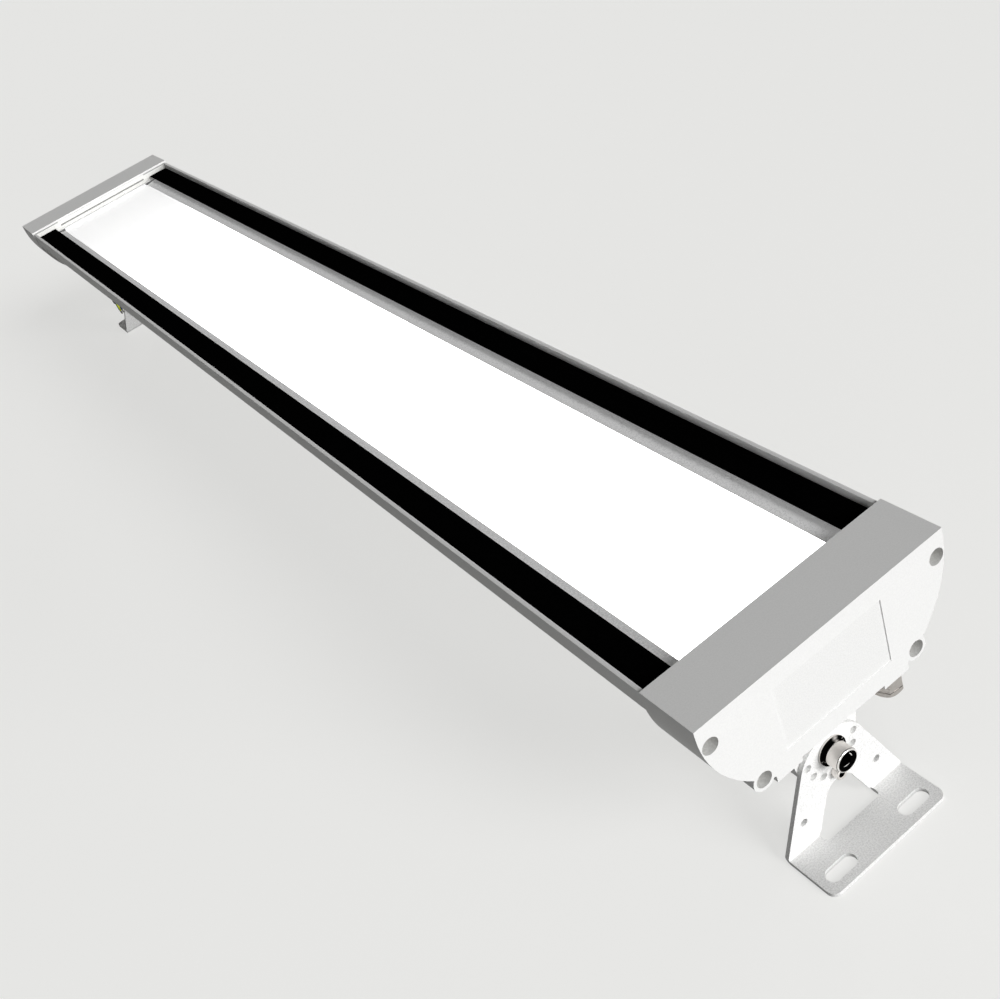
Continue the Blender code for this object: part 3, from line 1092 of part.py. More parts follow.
def make_index_screw():
    """Screw in the lowest index hole, which locks the bracket to the lug."""
    seat = PLATE_OUTER + CLEARANCE
    top = INDEX_HEAD_HEIGHT
    profile = [(0, -SHEET), (INDEX_SCREW_RADIUS, -SHEET), (INDEX_SCREW_RADIUS, 0),
               (INDEX_HEAD_RADIUS, 0), (INDEX_HEAD_RADIUS, top - BOLT_CHAMFER),
               (INDEX_HEAD_RADIUS - BOLT_CHAMFER, top), (0, top)]
    screw = turned("far_index_screw", profile, ROUND_TURN)
    cut(screw, prism("socket", [hexagon(INDEX_SOCKET_ACROSS)], "Z",
                     top - INDEX_SOCKET_DEPTH, top + OVERRUN))
    moved(screw, 0, seat, PIVOT_HEIGHT - INDEX_CIRCLE_RADIUS, UPRIGHT_TO_OUTWARD)
    return paint(screw, *NICKEL)


def put_on_pivot(end, pieces):
    """Hangs a bracket and its index screw on an empty that lies on the pivot's axis."""
    side = 1 if end == "far" else -1
    pivot = bpy.data.objects.new(f"{end}_pivot", None)
    bpy.context.scene.collection.objects.link(pivot)
    pivot.location = (0, side * (PLATE_INNER + SHEET / 2), PIVOT_HEIGHT)
    for piece in pieces:
        piece.data.transform(Matrix.Translation(-pivot.location))
        piece.parent = pivot


def near_twin(piece):
    """The same piece turned round to the near end."""
    twin = copied(piece, piece.name.replace("far_", "near_"))
    twin.data.transform(HALF_TURN)
    finish = piece.data.materials[0].node_tree.nodes["Principled BSDF"].inputs
    return paint(twin, finish["Base Color"].default_value[:3],
                 finish["Roughness"].default_value, finish["Metallic"].default_value)


for thing in list(bpy.data.objects):
    bpy.data.objects.remove(thing)

make_housing()
fixed_at_ends = [make_end_cap(), make_gasket(), *make_cap_screws(), make_bezels(),
                 make_pivot_bolt(), *make_washers(), make_nut()]
for end_piece in fixed_at_ends:
    near_twin(end_piece)
make_glass()
make_glass_seals()
make_diffuser()
make_lamp_boards()
make_gear()
make_wiring()
make_gland()
make_supply_cable()
make_entry_seal("gland_ring_seal")
moved(make_entry_seal("vent_ring_seal"), turn=HALF_TURN)
moved(make_vent_plug(), turn=HALF_TURN)
far_tilting = [make_bracket(), make_index_screw()]
near_tilting = [near_twin(tilting_piece) for tilting_piece in far_tilting]
put_on_pivot("far", far_tilting)
put_on_pivot("near", near_tilting)

for piece in bpy.data.objects:
    if piece.type == "MESH":
        piece.data.shade_smooth()
        piece.data.set_sharp_from_angle(angle=radians(30))
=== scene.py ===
"""LED tunnel light, dressed for its picture: a powder-coated extrusion between two cast end caps,
with a lit opal panel behind glass, standing on its two slotted tilting brackets.
"""
from math import cos, pi, radians, sin, sqrt

import bmesh
import bpy
from mathutils import Matrix, Vector


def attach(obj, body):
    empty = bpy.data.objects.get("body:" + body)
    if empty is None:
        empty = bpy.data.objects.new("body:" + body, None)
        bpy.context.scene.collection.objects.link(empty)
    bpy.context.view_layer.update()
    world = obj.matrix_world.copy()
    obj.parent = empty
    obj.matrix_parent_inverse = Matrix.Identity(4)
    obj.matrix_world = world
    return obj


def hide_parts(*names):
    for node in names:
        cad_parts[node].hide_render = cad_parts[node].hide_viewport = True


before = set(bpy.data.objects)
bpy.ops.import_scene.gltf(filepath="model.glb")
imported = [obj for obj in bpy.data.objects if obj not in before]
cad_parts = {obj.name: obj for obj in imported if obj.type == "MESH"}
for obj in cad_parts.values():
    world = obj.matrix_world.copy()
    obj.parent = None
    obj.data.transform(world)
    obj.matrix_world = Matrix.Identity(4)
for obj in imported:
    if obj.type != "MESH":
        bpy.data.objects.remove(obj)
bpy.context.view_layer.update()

# Camera
# A normal lens, high in front of the near end and to its left, so that the light runs away to the
# upper left. The frame is square, and the lens looks straight through its middle.
LENS_MM = 46.497
SENSOR_MM = 36.0
CAMERA_PLACE = Vector((-0.29014, -0.97964, 0.65886))
CAMERA_RIGHT = Vector((0.77713, -0.55066, -0.30471))
CAMERA_DOWN = Vector((-0.55251, -0.36514, -0.74927))
CAMERA_AHEAD = Vector((0.30133, 0.75063, -0.58800))

camera_data = bpy.data.cameras.new("camera")
camera_data.lens = LENS_MM
camera_data.sensor_width = SENSOR_MM
camera_data.clip_end = 100.0
camera = bpy.data.objects.new("camera", camera_data)
bpy.context.scene.collection.objects.link(camera)
camera.matrix_world = Matrix.Translation(CAMERA_PLACE) @ Matrix(
    (CAMERA_RIGHT, -CAMERA_DOWN, -CAMERA_AHEAD)).transposed().to_4x4()
bpy.context.scene.camera = camera
bpy.context.scene.view_settings.view_transform = "Standard"

# Supply cable
# A three-core cable, 7 mm across, in a black rubber jacket. It is cut short: it hangs out of the
# gland under the far cap, leans in a little, and ends bared, with its three cores spread below.
CABLE_DIAMETER = 0.007
CABLE_START = Vector((-0.0420, 0.5904, 0.0825))
CABLE_DROP = 0.0437
CABLE_LEAN = 0.0025
CABLE_HANG_SHARE = 0.27       # of the drop, before the cable starts to lean
CABLE_POINTS = 20


def linear(hex_colour):
    """A colour written as sRGB hex, in the linear values that shaders read."""
    values = [int(hex_colour[i:i + 2], 16) / 255 for i in (1, 3, 5)]
    return [v / 12.92 if v <= 0.04045 else ((v + 0.055) / 1.055) ** 2.4 for v in values] + [1.0]


def add_node(tree, kind, inputs=None, **settings):
    """A node with its settings. An input takes a value, a socket or another node's first output."""
    node = tree.nodes.new("ShaderNode" + kind)
    for name, value in settings.items():
        setattr(node, name, value)
    for name, value in (inputs or {}).items():
        source = value.outputs[0] if isinstance(value, bpy.types.Node) else value
        if isinstance(source, bpy.types.NodeSocket):
            tree.links.new(source, node.inputs[name])
        else:
            node.inputs[name].default_value = value
    return node


def new_material(name, values):
    """A material with its principled shader set, ready for its textures."""
    material = bpy.data.materials.new(name)
    material.use_nodes = True
    shader = material.node_tree.nodes["Principled BSDF"]
    for socket, value in values.items():
        shader.inputs[socket].default_value = value
    return material, material.node_tree, shader


def grain(tree, size_mm, detail=2.0, roughness=0.5):
    """Noise whose spots are about this wide on the object, two to each wave of its pattern."""
    place = add_node(tree, "TexCoord")
    return add_node(tree, "TexNoise", {
        "Scale": 1000.0 / (2 * size_mm), "Detail": detail, "Roughness": roughness,
        "Vector": place.outputs["Object"]})


def mottle(tree, shader, noise, dark_hex, light_hex, low=0.3, high=0.7):
    """Lets a noise carry the base colour from one hex value to another."""
    ramp = add_node(tree, "ValToRGB", {"Fac": noise.outputs["Fac"]})
    ramp.color_ramp.elements[0].position = low
    ramp.color_ramp.elements[0].color = linear(dark_hex)
    ramp.color_ramp.elements[1].position = high
    ramp.color_ramp.elements[1].color = linear(light_hex)
    tree.links.new(ramp.outputs["Color"], shader.inputs["Base Color"])


def roughen(tree, shader, noise, low, high):
    """Lets a noise carry the roughness from one value to another."""
    spread = add_node(tree, "MapRange", {
        "To Min": low, "To Max": high, "Value": noise.outputs["Fac"]})
    tree.links.new(spread.outputs["Result"], shader.inputs["Roughness"])


def emboss(tree, shader, noise, height_mm):
    """Lets a noise raise the surface by a real height."""
    bump = add_node(tree, "Bump", {
        "Distance": height_mm / 1000, "Strength": 1.0, "Height": noise.outputs["Fac"]})
    tree.links.new(bump.outputs["Normal"], shader.inputs["Normal"])


def even_finish(name, values, dark_hex, light_hex, grain_mm, rough=None, relief_mm=None,
                detail=2.0, fineness=0.5, low=0.3, high=0.7):
    """A material whose one grain carries its colour, and may carry its roughness and relief."""
    material, tree, shader = new_material(name, values)
    noise = grain(tree, grain_mm, detail, fineness)
    mottle(tree, shader, noise, dark_hex, light_hex, low, high)
    if rough:
        roughen(tree, shader, noise, *rough)
    if relief_mm:
        emboss(tree, shader, noise, relief_mm)
    return material


# Neoprene jacket: black rubber with a dull, slightly dusty skin left by its extrusion.
rubber_jacket = even_finish("extruded_neoprene", {"IOR": 1.52}, "#101012", "#202023",
                            grain_mm=0.5, rough=(0.45, 0.65), relief_mm=0.05)


def settle(piece, body, slot, *nodes):
    """Puts a finished piece on its body, and hides the CAD nodes that it stands for. Its slot is
    not used.
    """
    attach(piece, body)
    if nodes:
        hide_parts(*nodes)
    return piece


def cable_point(share):
    """A point of the route: straight down at first, then leaning in with a smooth start and end."""
    way = max(0.0, share - CABLE_HANG_SHARE) / (1 - CABLE_HANG_SHARE)
    lean = way * way * (3 - 2 * way)
    return CABLE_START + Vector((CABLE_LEAN * lean, 0, -CABLE_DROP * share))


cable_route = [cable_point(index / (CABLE_POINTS - 1)) for index in range(CABLE_POINTS)]
cable_curve = bpy.data.curves.new("supply_cable_jacket", "CURVE")
cable_curve.dimensions = "3D"
cable_curve.bevel_depth = CABLE_DIAMETER / 2
cable_curve.bevel_resolution = 8
cable_curve.use_fill_caps = True
cable_line = cable_curve.splines.new("POLY")
cable_line.points.add(CABLE_POINTS - 1)
for spline_point, place in zip(cable_line.points, cable_route):
    spline_point.co = (*place, 1)
cable = bpy.data.objects.new("supply_cable_jacket", cable_curve)
bpy.context.scene.collection.objects.link(cable)
cable_curve.materials.append(rubber_jacket)
settle(cable, "luminaire", "black_cable", "supply_cable")

# Cores of the supply cable
# Three stranded copper cores in PVC, brown, green and yellow, and blue, each bared at its end. The
# bared strands are tinned and twisted together.
CORE_OFFSET = 0.00165
CORE_RADIUS = 0.00125
CORE_LENGTH = 0.0158
CORE_TIP = 0.0048
STRAND_RADIUS = 0.00031
STRAND_TURNS = 0.8
CORE_GAP = 0.0003
STRAND_STEPS = 10
OUTER_STRANDS = 6             # round one in the middle
YELLOW_SIDE = (0.777, -0.551, 0.0)
core_colours = {"blue_core": ("#1D3F8C", "#2C54AC"), "brown_core": ("#4E2A1A", "#6A3B25"),
                "earth_core": ("#2A8A1E", "#3FAE2C")}


def clear_selection():
    """Leaves edit mode, and selects nothing."""
    if bpy.context.object and bpy.context.object.mode != "OBJECT":
        bpy.ops.object.mode_set(mode="OBJECT")
    bpy.ops.object.select_all(action="DESELECT")


def pick(*pieces):
    """Selects these pieces only, the first one active."""
    clear_selection()
    for piece in pieces:
        piece.select_set(True)
    bpy.context.view_layer.objects.active = pieces[0]


def named(name):
    """Names the piece just added, and fixes its place in its mesh."""
    piece = bpy.context.object
    bpy.ops.object.transform_apply(location=True, rotation=True, scale=True)
    piece.name = piece.data.name = name
    return piece


def rod(name, middle, radius, low, high, facets=64, axis="Y"):
    """A round bar along an axis, about a middle given in the other two coordinates."""
    turn = {"X": (0, pi / 2, 0), "Y": (pi / 2, 0, 0), "Z": (0, 0, 0)}[axis]
    place = list(middle)
    place.insert("XYZ".index(axis), (low + high) / 2)
    clear_selection()
    bpy.ops.mesh.primitive_cylinder_add(vertices=facets, radius=radius, depth=high - low,
                                        location=place, rotation=turn)
    return named(name)


def join(name, pieces):
    """One object made of several loose ones."""
    pick(*pieces)
    bpy.ops.object.join()
    joined = bpy.context.object
    joined.name = joined.data.name = name
    return joined


def smooth(piece, angle=30):
    """Shades a piece smooth, but for the edges that are sharper than an angle."""
    pick(piece)
    bpy.ops.object.shade_smooth_by_angle(angle=radians(angle))
    return piece


def select_faces(piece, test):
    """In edit mode, selects the faces whose middle and normal pass a test."""
    pick(piece)
    bpy.ops.object.mode_set(mode="EDIT")
    bpy.ops.mesh.select_mode(type="FACE")
    bpy.ops.mesh.select_all(action="DESELECT")
    shape = bmesh.from_edit_mesh(piece.data)
    for face in shape.faces:
        face.select = test(face.calc_center_median(), face.normal)
    shape.select_flush_mode()
    bmesh.update_edit_mesh(piece.data)


def leave_edit():
    bpy.ops.object.mode_set(mode="OBJECT")


def coat(piece, *finishes):
    """Gives a piece its materials, in the order of their indices; a face whose index was never set
    shows the first.
    """
    piece.data.materials.clear()
    for finish in finishes:
        piece.data.materials.append(finish)


def patch(tree, shader, mask, hex_colour):
    """Gives the base colour another hex value where a mask is 1."""
    under = shader.inputs["Base Color"].links[0].from_socket
    # The Mix node's colours are its inputs 6 and 7 and its output 2.
    tone = add_node(tree, "Mix", {0: mask, 6: under, 7: linear(hex_colour)}, data_type="RGBA")
    tree.links.new(tone.outputs[2], shader.inputs["Base Color"])
    return tone.outputs[2]


# Tinned copper: a dull silver skin of tin that evens out the strands.
tinned_copper = even_finish("tinned_copper", {"Metallic": 1.0}, "#6C6A67", "#9A9894",
                            grain_mm=0.4, rough=(0.25, 0.5))

core_top = cable_route[-1]
cable_end_way = (cable_route[-1] - cable_route[-2]).normalized()
end_turn = cable_end_way.to_track_quat("Z", "Y").to_matrix().to_4x4()


def make_strand(name, turn_start, length):
    """One wire of a tip, as a thin tube that winds round the others."""
    curve = bpy.data.curves.new(name, "CURVE")
    curve.dimensions = "3D"
    curve.bevel_depth = STRAND_RADIUS
    curve.bevel_resolution = 1
    curve.use_fill_caps = True
    line = curve.splines.new("POLY")
    line.points.add(STRAND_STEPS)
    radius = 0.0 if turn_start is None else 2 * STRAND_RADIUS
    for step, point in enumerate(line.points):
        turn = (turn_start or 0.0) + 2 * pi * STRAND_TURNS * step / STRAND_STEPS
        point.co = (radius * cos(turn), radius * sin(turn), length * step / STRAND_STEPS, 1)
    strand = bpy.data.objects.new(name, curve)
    bpy.context.scene.collection.objects.link(strand)
    pick(strand)
    bpy.ops.object.convert(target="MESH")
    return bpy.context.object


for index, (core_name, hexes) in enumerate(core_colours.items()):
    turn = 2 * pi * index / len(core_colours)
    place = core_top + CORE_GAP * cable_end_way + CORE_OFFSET * (
        sin(turn) * end_turn.col[0].xyz + cos(turn) * end_turn.col[1].xyz)
    sheath = rod("sheath", (0, 0), CORE_RADIUS, 0, CORE_LENGTH - CORE_TIP, 32, "Z")
    select_faces(sheath, lambda middle, normal: normal.z > 0.9)
    bpy.ops.mesh.inset(thickness=CORE_RADIUS - 3 * STRAND_RADIUS)
    bpy.ops.mesh.extrude_region_move(TRANSFORM_OT_translate={"value": (0, 0, -CORE_GAP * 2)})
    leave_edit()
    wires = [make_strand("wire", None, CORE_TIP)]
    wires += [make_strand("wire", 2 * pi * wire / OUTER_STRANDS, CORE_TIP)
              for wire in range(OUTER_STRANDS)]
    tip = join("tip", wires)
    tip.data.transform(Matrix.Translation((0, 0, CORE_LENGTH - CORE_TIP)))
    # PVC insulation: glossy and faintly cloudy, the earth core's half green and half yellow.
    insulation, tree, shader = new_material(core_name + "_pvc", {"IOR": 1.54, "Roughness": 0.32})
    mottle(tree, shader, grain(tree, 0.6), *hexes)
    if core_name == "earth_core":
        where = add_node(tree, "TexCoord")
        across = add_node(tree, "VectorMath",
                          {0: where.outputs["Object"], 1: YELLOW_SIDE}, operation="DOT_PRODUCT")
        half = add_node(tree, "Math", {
            0: across.outputs["Value"], 1: Vector(YELLOW_SIDE).dot(place)},
            operation="GREATER_THAN")
        patch(tree, shader, half, "#DCE022")
    coat(sheath, insulation)
    coat(tip, tinned_copper)
    core = smooth(join(core_name + "_stripped", [sheath, tip]), 40)
    core.data.transform(Matrix.Translation(place) @ end_turn)
    settle(core, "luminaire", core_name, core_name)

# Floor and studio
# A wide pale floor under plain soft light: a square source in front and to the left, which fades
# along the light, two broad ones from the front and a little to the right, one from behind, and a
# dim world. Only what looks at the floor or the world sees them pale.
FLOOR_SIZE = 30.0
FLOOR_DROP = 0.0002
FLOOR_HEX = "#F6F6F4"
FLOOR_SHADE_HEX = "#5E5E5C"
FLOOR_GLOW = 0.7
WORLD_HEX = "#E6E6E4"
WORLD_LIGHT = 0.065
SQUARE_PLACE = Vector((-0.9, -1.9, 0.7))
SQUARE_AIM = Vector((0.0, -0.6, 0.13))
SQUARE_SIZE = 0.5
SQUARE_POWER = 5.4
broad_lamps = {"front_light": (1.90, 24.0, Vector((-0.25, 1.0, -0.65))),
               "low_light": (1.66, 16.0, Vector((-0.45, 1.0, -0.15))),
               "back_light": (2.1, 12.0, Vector((-0.60, -0.80, 0.0)))}


def seen_rays(tree):
    """1 for the rays that look at a surface: straight, in a reflection or through glass."""
    path = add_node(tree, "LightPath")
    seen = path.outputs["Is Camera Ray"]
    for kind in ("Is Glossy Ray", "Is Transmission Ray"):
        seen = add_node(tree, "Math", {0: seen, 1: path.outputs[kind]}, operation="MAXIMUM")
    return seen


# Matt painted floor: a plain pale grey that keeps the light's shadow.
floor_paint, tree, shader = new_material("matt_floor_paint", {"Roughness": 0.95, "IOR": 1.45})
seen = seen_rays(tree)
tone = add_node(tree, "Mix", {
    0: seen, 6: linear(FLOOR_SHADE_HEX), 7: linear(FLOOR_HEX)}, data_type="RGBA")
tree.links.new(tone.outputs[2], shader.inputs["Base Color"])
glow = add_node(tree, "Emission", {"Color": linear(FLOOR_HEX), "Strength": 1.0})
share = add_node(tree, "Math", {0: seen, 1: FLOOR_GLOW}, operation="MULTIPLY")
blend = add_node(tree, "MixShader", {0: share, 1: shader, 2: glow})
tree.links.new(blend.outputs[0], tree.nodes["Material Output"].inputs["Surface"])

clear_selection()
bpy.ops.mesh.primitive_plane_add(size=FLOOR_SIZE, location=(0, 0, -FLOOR_DROP))
floor = named("floor")
coat(floor, floor_paint)

world = bpy.data.worlds.new("studio")
bpy.context.scene.world = world
world.use_nodes = True
tree = world.node_tree
tree.nodes["Background"].inputs["Color"].default_value = linear(WORLD_HEX)
span = add_node(tree, "MapRange", {"To Min": WORLD_LIGHT, "To Max": 1.0, "Value": seen_rays(tree)})
tree.links.new(span.outputs["Result"], tree.nodes["Background"].inputs["Strength"])


def add_lamp(name, kind, energy, way):
    """A lamp that shines a given way."""
    lamp_data = bpy.data.lights.new(name, kind)
    lamp_data.energy = energy
    lamp = bpy.data.objects.new(name, lamp_data)
    bpy.context.scene.collection.objects.link(lamp)
    lamp.rotation_euler = way.to_track_quat("-Z", "Y").to_euler()
    return lamp


square = add_lamp("square_light", "AREA", SQUARE_POWER, SQUARE_AIM - SQUARE_PLACE)
square.location = SQUARE_PLACE
square.data.size = SQUARE_SIZE
for lamp_name, (strength, softness, way) in broad_lamps.items():
    add_lamp(lamp_name, "SUN", strength, way).data.angle = radians(softness)

# Housing
# One aluminium extrusion, closed by a web that carries the lamp boards, with rails for the glass,
# screw ports in its corners and cooling fins below. It is sawn to length and powder coated.
LAMP_HALF_WIDTH = 0.090
EDGE_ROUND = 0.0003
WELD = 1e-6                   # corners nearer than this are one


def modify(piece, kind, **settings):
    """Adds one modifier to a piece and applies it."""
    pick(piece)
    modifier = piece.modifiers.new(kind, kind)
    for name, value in settings.items():
        setattr(modifier, name, value)
    bpy.ops.object.modifier_apply(modifier=modifier.name)
    return piece


def round_edges(piece, width, segments=2, angle=35):
    """Breaks every sharp edge, and keeps the flat faces flat to the light."""
    modify(piece, "BEVEL", width=width, segments=segments, limit_method="ANGLE",
           angle_limit=radians(angle), miter_outer="MITER_ARC", use_clamp_overlap=True)
    smooth(piece, 40)
    return modify(piece, "WEIGHTED_NORMAL", keep_sharp=True, weight=80)


def edit_all(piece):
    """Opens a piece for editing, with all of it selected."""
    pick(piece)
    bpy.ops.object.mode_set(mode="EDIT")
    bpy.ops.mesh.select_all(action="SELECT")


def merged_copy(node, name):
    """A copy of a CAD node with its loose triangles merged and its flat faces made whole."""
    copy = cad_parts[node].copy()
    copy.data = copy.data.copy()
    bpy.context.scene.collection.objects.link(copy)
    copy.parent = None
    copy.name = copy.data.name = name
    for key in list(copy.keys()):
        del copy[key]
    pick(copy)
    bpy.ops.mesh.customdata_custom_splitnormals_clear()
    edit_all(copy)
    bpy.ops.mesh.remove_doubles(threshold=WELD)
    bpy.ops.mesh.select_all(action="SELECT")
    bpy.ops.mesh.dissolve_limited(angle_limit=radians(0.5))
    leave_edit()
    return copy


# Polyester powder coat on aluminium: a fine, even orange peel, nearly white, with a satin sheen.
fine_powder = even_finish(
    "fine_powder_coat", {"IOR": 1.5, "Specular IOR Level": 0.2}, "#E0E0DF", "#E6E6E5",
    grain_mm=0.45, rough=(0.45, 0.58), relief_mm=0.01, detail=3.0)

housing = merged_copy("housing", "housing_extrusion")
coat(housing, fine_powder)
round_edges(housing, EDGE_ROUND)
settle(housing, "luminaire", "powder_coated_aluminium", "housing")

# Gear under the web
# The driver is potted in an aluminium case. It stands with a surge protector and a terminal block
# on a sheet tray that slides into the extrusion. Leads in black jackets join them.
ROLLING_SCALE = (1500, 12, 1500)    # rolling lines under 1 mm apart and some 80 mm long


def dress(material, *nodes):
    """Gives CAD nodes that stay their finish."""
    for name in nodes:
        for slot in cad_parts[name].material_slots:
            slot.material = material


# Rolled aluminium sheet: bare, with rolling lines along the light.
rolled_sheet, tree, shader = new_material("rolled_aluminium", {"Metallic": 1.0, "Roughness": 0.35})
place = add_node(tree, "TexCoord")
stretch = add_node(tree, "Mapping", {"Scale": ROLLING_SCALE, "Vector": place.outputs["Object"]})
lines = add_node(tree, "TexNoise", {"Scale": 1.0, "Detail": 3.0, "Vector": stretch})
mottle(tree, shader, lines, "#A9ABAD", "#CDCFD1")
roughen(tree, shader, lines, 0.28, 0.45)
dress(rolled_sheet, "gear_tray")

# Painted case of the driver: a light satin enamel with a faint peel.
case_enamel = even_finish("satin_enamel", {"IOR": 1.5, "Roughness": 0.35}, "#C9CBCD", "#D8DADB",
                          grain_mm=1.2, relief_mm=0.02)
dress(case_enamel, "led_driver")

# Moulded flame-proof plastics, finely spark eroded: black for the surge protector, cream for the
# terminal block.
for plastic_name, dark_hex, light_hex, node in (
        ("black_polybutylene", "#151517", "#232326", "surge_protector"),
        ("cream_polyamide", "#D2CCBC", "#DED9CB", "terminal_block")):
    dress(even_finish(plastic_name, {"IOR": 1.53}, dark_hex, light_hex,
                      grain_mm=0.3, rough=(0.42, 0.6), relief_mm=0.03), node)

dress(rubber_jacket, "supply_cable_inside", "terminal_to_surge_lead", "surge_to_driver_lead",
      "driver_to_board_lead", "board_link_lead_1", "board_link_lead_2", "board_link_lead_3")

# Moulded rubber: black, matt, a little grey with dust.
black_rubber = even_finish("moulded_rubber", {"IOR": 1.52}, "#121213", "#232324",
                           grain_mm=0.8, rough=(0.65, 0.85))
dress(black_rubber, "web_grommet", "gland_ring_seal", "vent_ring_seal", "left_glass_seal",
      "right_glass_seal")

# Lamp boards
# Four metal-core boards lie on the web in a row. Their solder mask is white, and each diode is a
# white case with a yellow phosphor face.
DIODE_FACE, DIODE_FACE_TOP = 0.1413, 0.1415


def object_axes(tree):
    """The object's own X, Y and Z, for a finish that changes from place to place."""
    place = add_node(tree, "TexCoord")
    return add_node(tree, "SeparateXYZ", {"Vector": place.outputs["Object"]}).outputs


# Solder mask and phosphor: a white satin lacquer, and above it the yellow of the diodes' faces.
solder_mask, tree, shader = new_material("solder_mask", {"IOR": 1.5, "Roughness": 0.4})
mottle(tree, shader, grain(tree, 0.7), "#DEDED8", "#EDEDE9")
x, y, z = object_axes(tree)
above = add_node(tree, "Math", {0: z, 1: DIODE_FACE}, operation="GREATER_THAN")
below = add_node(tree, "Math", {0: z, 1: DIODE_FACE_TOP}, operation="LESS_THAN")
face = add_node(tree, "Math", {0: above, 1: below}, operation="MULTIPLY")
patch(tree, shader, face, "#D9C24A")
dress(solder_mask, "led_board_1", "led_board_2", "led_board_3", "led_board_4")

# Diffuser
# An extruded sheet of opal acrylic on the extrusion's shelves. The lit boards behind it make it one
# even white surface, only a trace darker past the last diodes.
PANEL_GLOW, END_GLOW = 3.0, 0.48
FALL_START, FALL_END = 0.30, 0.46
FADE_GLOW, FADE_START = 0.66, 0.44
PANEL_END = 0.5536

# Opal acrylic: lit from behind, so that its own light hides its satin surface.
opal, tree, shader = new_material("opal_acrylic", {
    "IOR": 1.49, "Roughness": 0.4, "Emission Color": linear("#FFFFFF")})
mottle(tree, shader, grain(tree, 2.0), "#ECECEC", "#F2F2F2")
x, y, z = object_axes(tree)
fall = add_node(tree, "MapRange", {
    "Value": y, "From Min": FALL_START, "From Max": FALL_END,
    "To Min": PANEL_GLOW, "To Max": END_GLOW})
fade = add_node(tree, "MapRange", {
    "Value": y, "From Min": FADE_START, "From Max": PANEL_END,
    "To Min": FADE_GLOW, "To Max": END_GLOW})
panel_light = add_node(tree, "Math", {0: fall, 1: fade}, operation="MAXIMUM")
tree.links.new(panel_light.outputs[0], shader.inputs["Emission Strength"])
dress(opal, "diffuser")

# Bezels round the opening
# White polycarbonate strips under the glass, one along each side and a U at each end, clipped over
# the ledges. Their sloped walls are matt and coarsely grained, with painted shade in the U's
# corners.
CORNER_MIDDLE, CORNER_REACH = 0.5521, 0.0017
CORNER_START = 0.0548
STRIP_END, STRIP_END_ZONE = 0.5342, 0.5321
GLOW_START, GLOW_END = 0.050, 0.0641
PAINTED_GLOW_STRENGTH = 0.21

# Matt polycarbonate: a dry white surface with a salt-like grain, about 1 mm across. A painted glow
# lightens the right-hand wall a little, where the enamel shades it.
grained_white, tree, shader = new_material("grained_polycarbonate",
                                           {"IOR": 1.58, "Roughness": 0.75})
salt = grain(tree, 0.6, 4.0, 0.7)
mottle(tree, shader, salt, "#DEDEDE", "#FFFFFF", 0.36, 0.64)
emboss(tree, shader, salt, 0.15)
x, y, z = object_axes(tree)
along = add_node(tree, "Math", {0: y}, operation="ABSOLUTE")
across = add_node(tree, "Math", {0: x}, operation="ABSOLUTE")
# Painted shade: a grey line along the U's inner corners, in the colour and in the glow.
at_bar = add_node(tree, "Math", {0: along, 1: CORNER_MIDDLE, 2: CORNER_REACH}, operation="COMPARE")
at_arm = add_node(tree, "Math", {0: across, 1: CORNER_START}, operation="GREATER_THAN")
painted_corner_shade = add_node(tree, "Math", {0: at_bar, 1: at_arm}, operation="MULTIPLY")
tree.links.new(patch(tree, shader, painted_corner_shade, "#707070"), shader.inputs["Emission Color"])
# Painted glow: the right-hand wall gives off a little light, more of it towards the enamel.
painted_wall_glow = add_node(tree, "MapRange", {
    "Value": x, "From Min": GLOW_START, "From Max": GLOW_END, "To Min": 0.0, "To Max": PAINTED_GLOW_STRENGTH})
tree.links.new(painted_wall_glow.outputs["Result"], shader.inputs["Emission Strength"])
dress(grained_white, "near_end_bezel", "far_end_bezel")
for node in ("left_bezel", "right_bezel"):
    strip = merged_copy(node, node + "_strip")
    coat(strip, grained_white)
    for vertex in strip.data.vertices:
        if abs(vertex.co.y) > STRIP_END_ZONE:
            vertex.co.y *= STRIP_END / abs(vertex.co.y)
    settle(strip, "luminaire", "white_bezel", node)

# Cover glass
# A pane of toughened glass with ground arrises, held in the rails. A band of black enamel is fired
# on along each long side and hides the seals.
GLASS_HALF = 0.0860
GLASS_END = 0.5562
GLASS_BOTTOM = 0.1624
GLASS_TOP = 0.1664
ENAMEL_HALF = 0.06415
ENAMEL_UNDER_HALF = 0.0705
ARRIS = 0.0003
FILM_BLEND, FILM_MOST = 0.25, 0.5


def block(name, low, high):
    """A block between two corners."""
    middle = [(a + b) / 2 for a, b in zip(low, high)]
    clear_selection()
    bpy.ops.mesh.primitive_cube_add(size=1, location=middle,
                                    scale=[b - a for a, b in zip(low, high)])
    return named(name)


def slice_mesh(piece, place, normal, clear_inner=False, clear_outer=False, fill=False):
    """Cuts a piece with a plane, and may take away what lies behind or before it."""
    edit_all(piece)
    bpy.ops.mesh.bisect(plane_co=place, plane_no=normal, use_fill=fill,
                        clear_inner=clear_inner, clear_outer=clear_outer)
    leave_edit()
    return piece


def finish_faces(piece, index, test):
    """Gives the faces that pass a test the piece's material at an index."""
    for face in piece.data.polygons:
        if test(face.center, face.normal):
            face.material_index = index


# Clear soda-lime glass: nearly invisible from above, with more reflection at a low angle. Only the
# face that looks outwards reflects, because light turns back inside the pane otherwise.
clear_glass, tree, shader = new_material("clear_glass", {
    "Base Color": linear("#101211"), "IOR": 1.52, "Roughness": 0.03})
facing = add_node(tree, "LayerWeight", {"Blend": FILM_BLEND})
film = add_node(tree, "MapRange", {
    "To Min": 0.0, "To Max": FILM_MOST, "Value": facing.outputs["Fresnel"]})
side = add_node(tree, "NewGeometry")
outward = add_node(tree, "Math", {0: 1.0, 1: side.outputs["Backfacing"]}, operation="SUBTRACT")
outer_film = add_node(tree, "Math", {0: film, 1: outward}, operation="MULTIPLY")
tree.links.new(outer_film.outputs[0], shader.inputs["Alpha"])

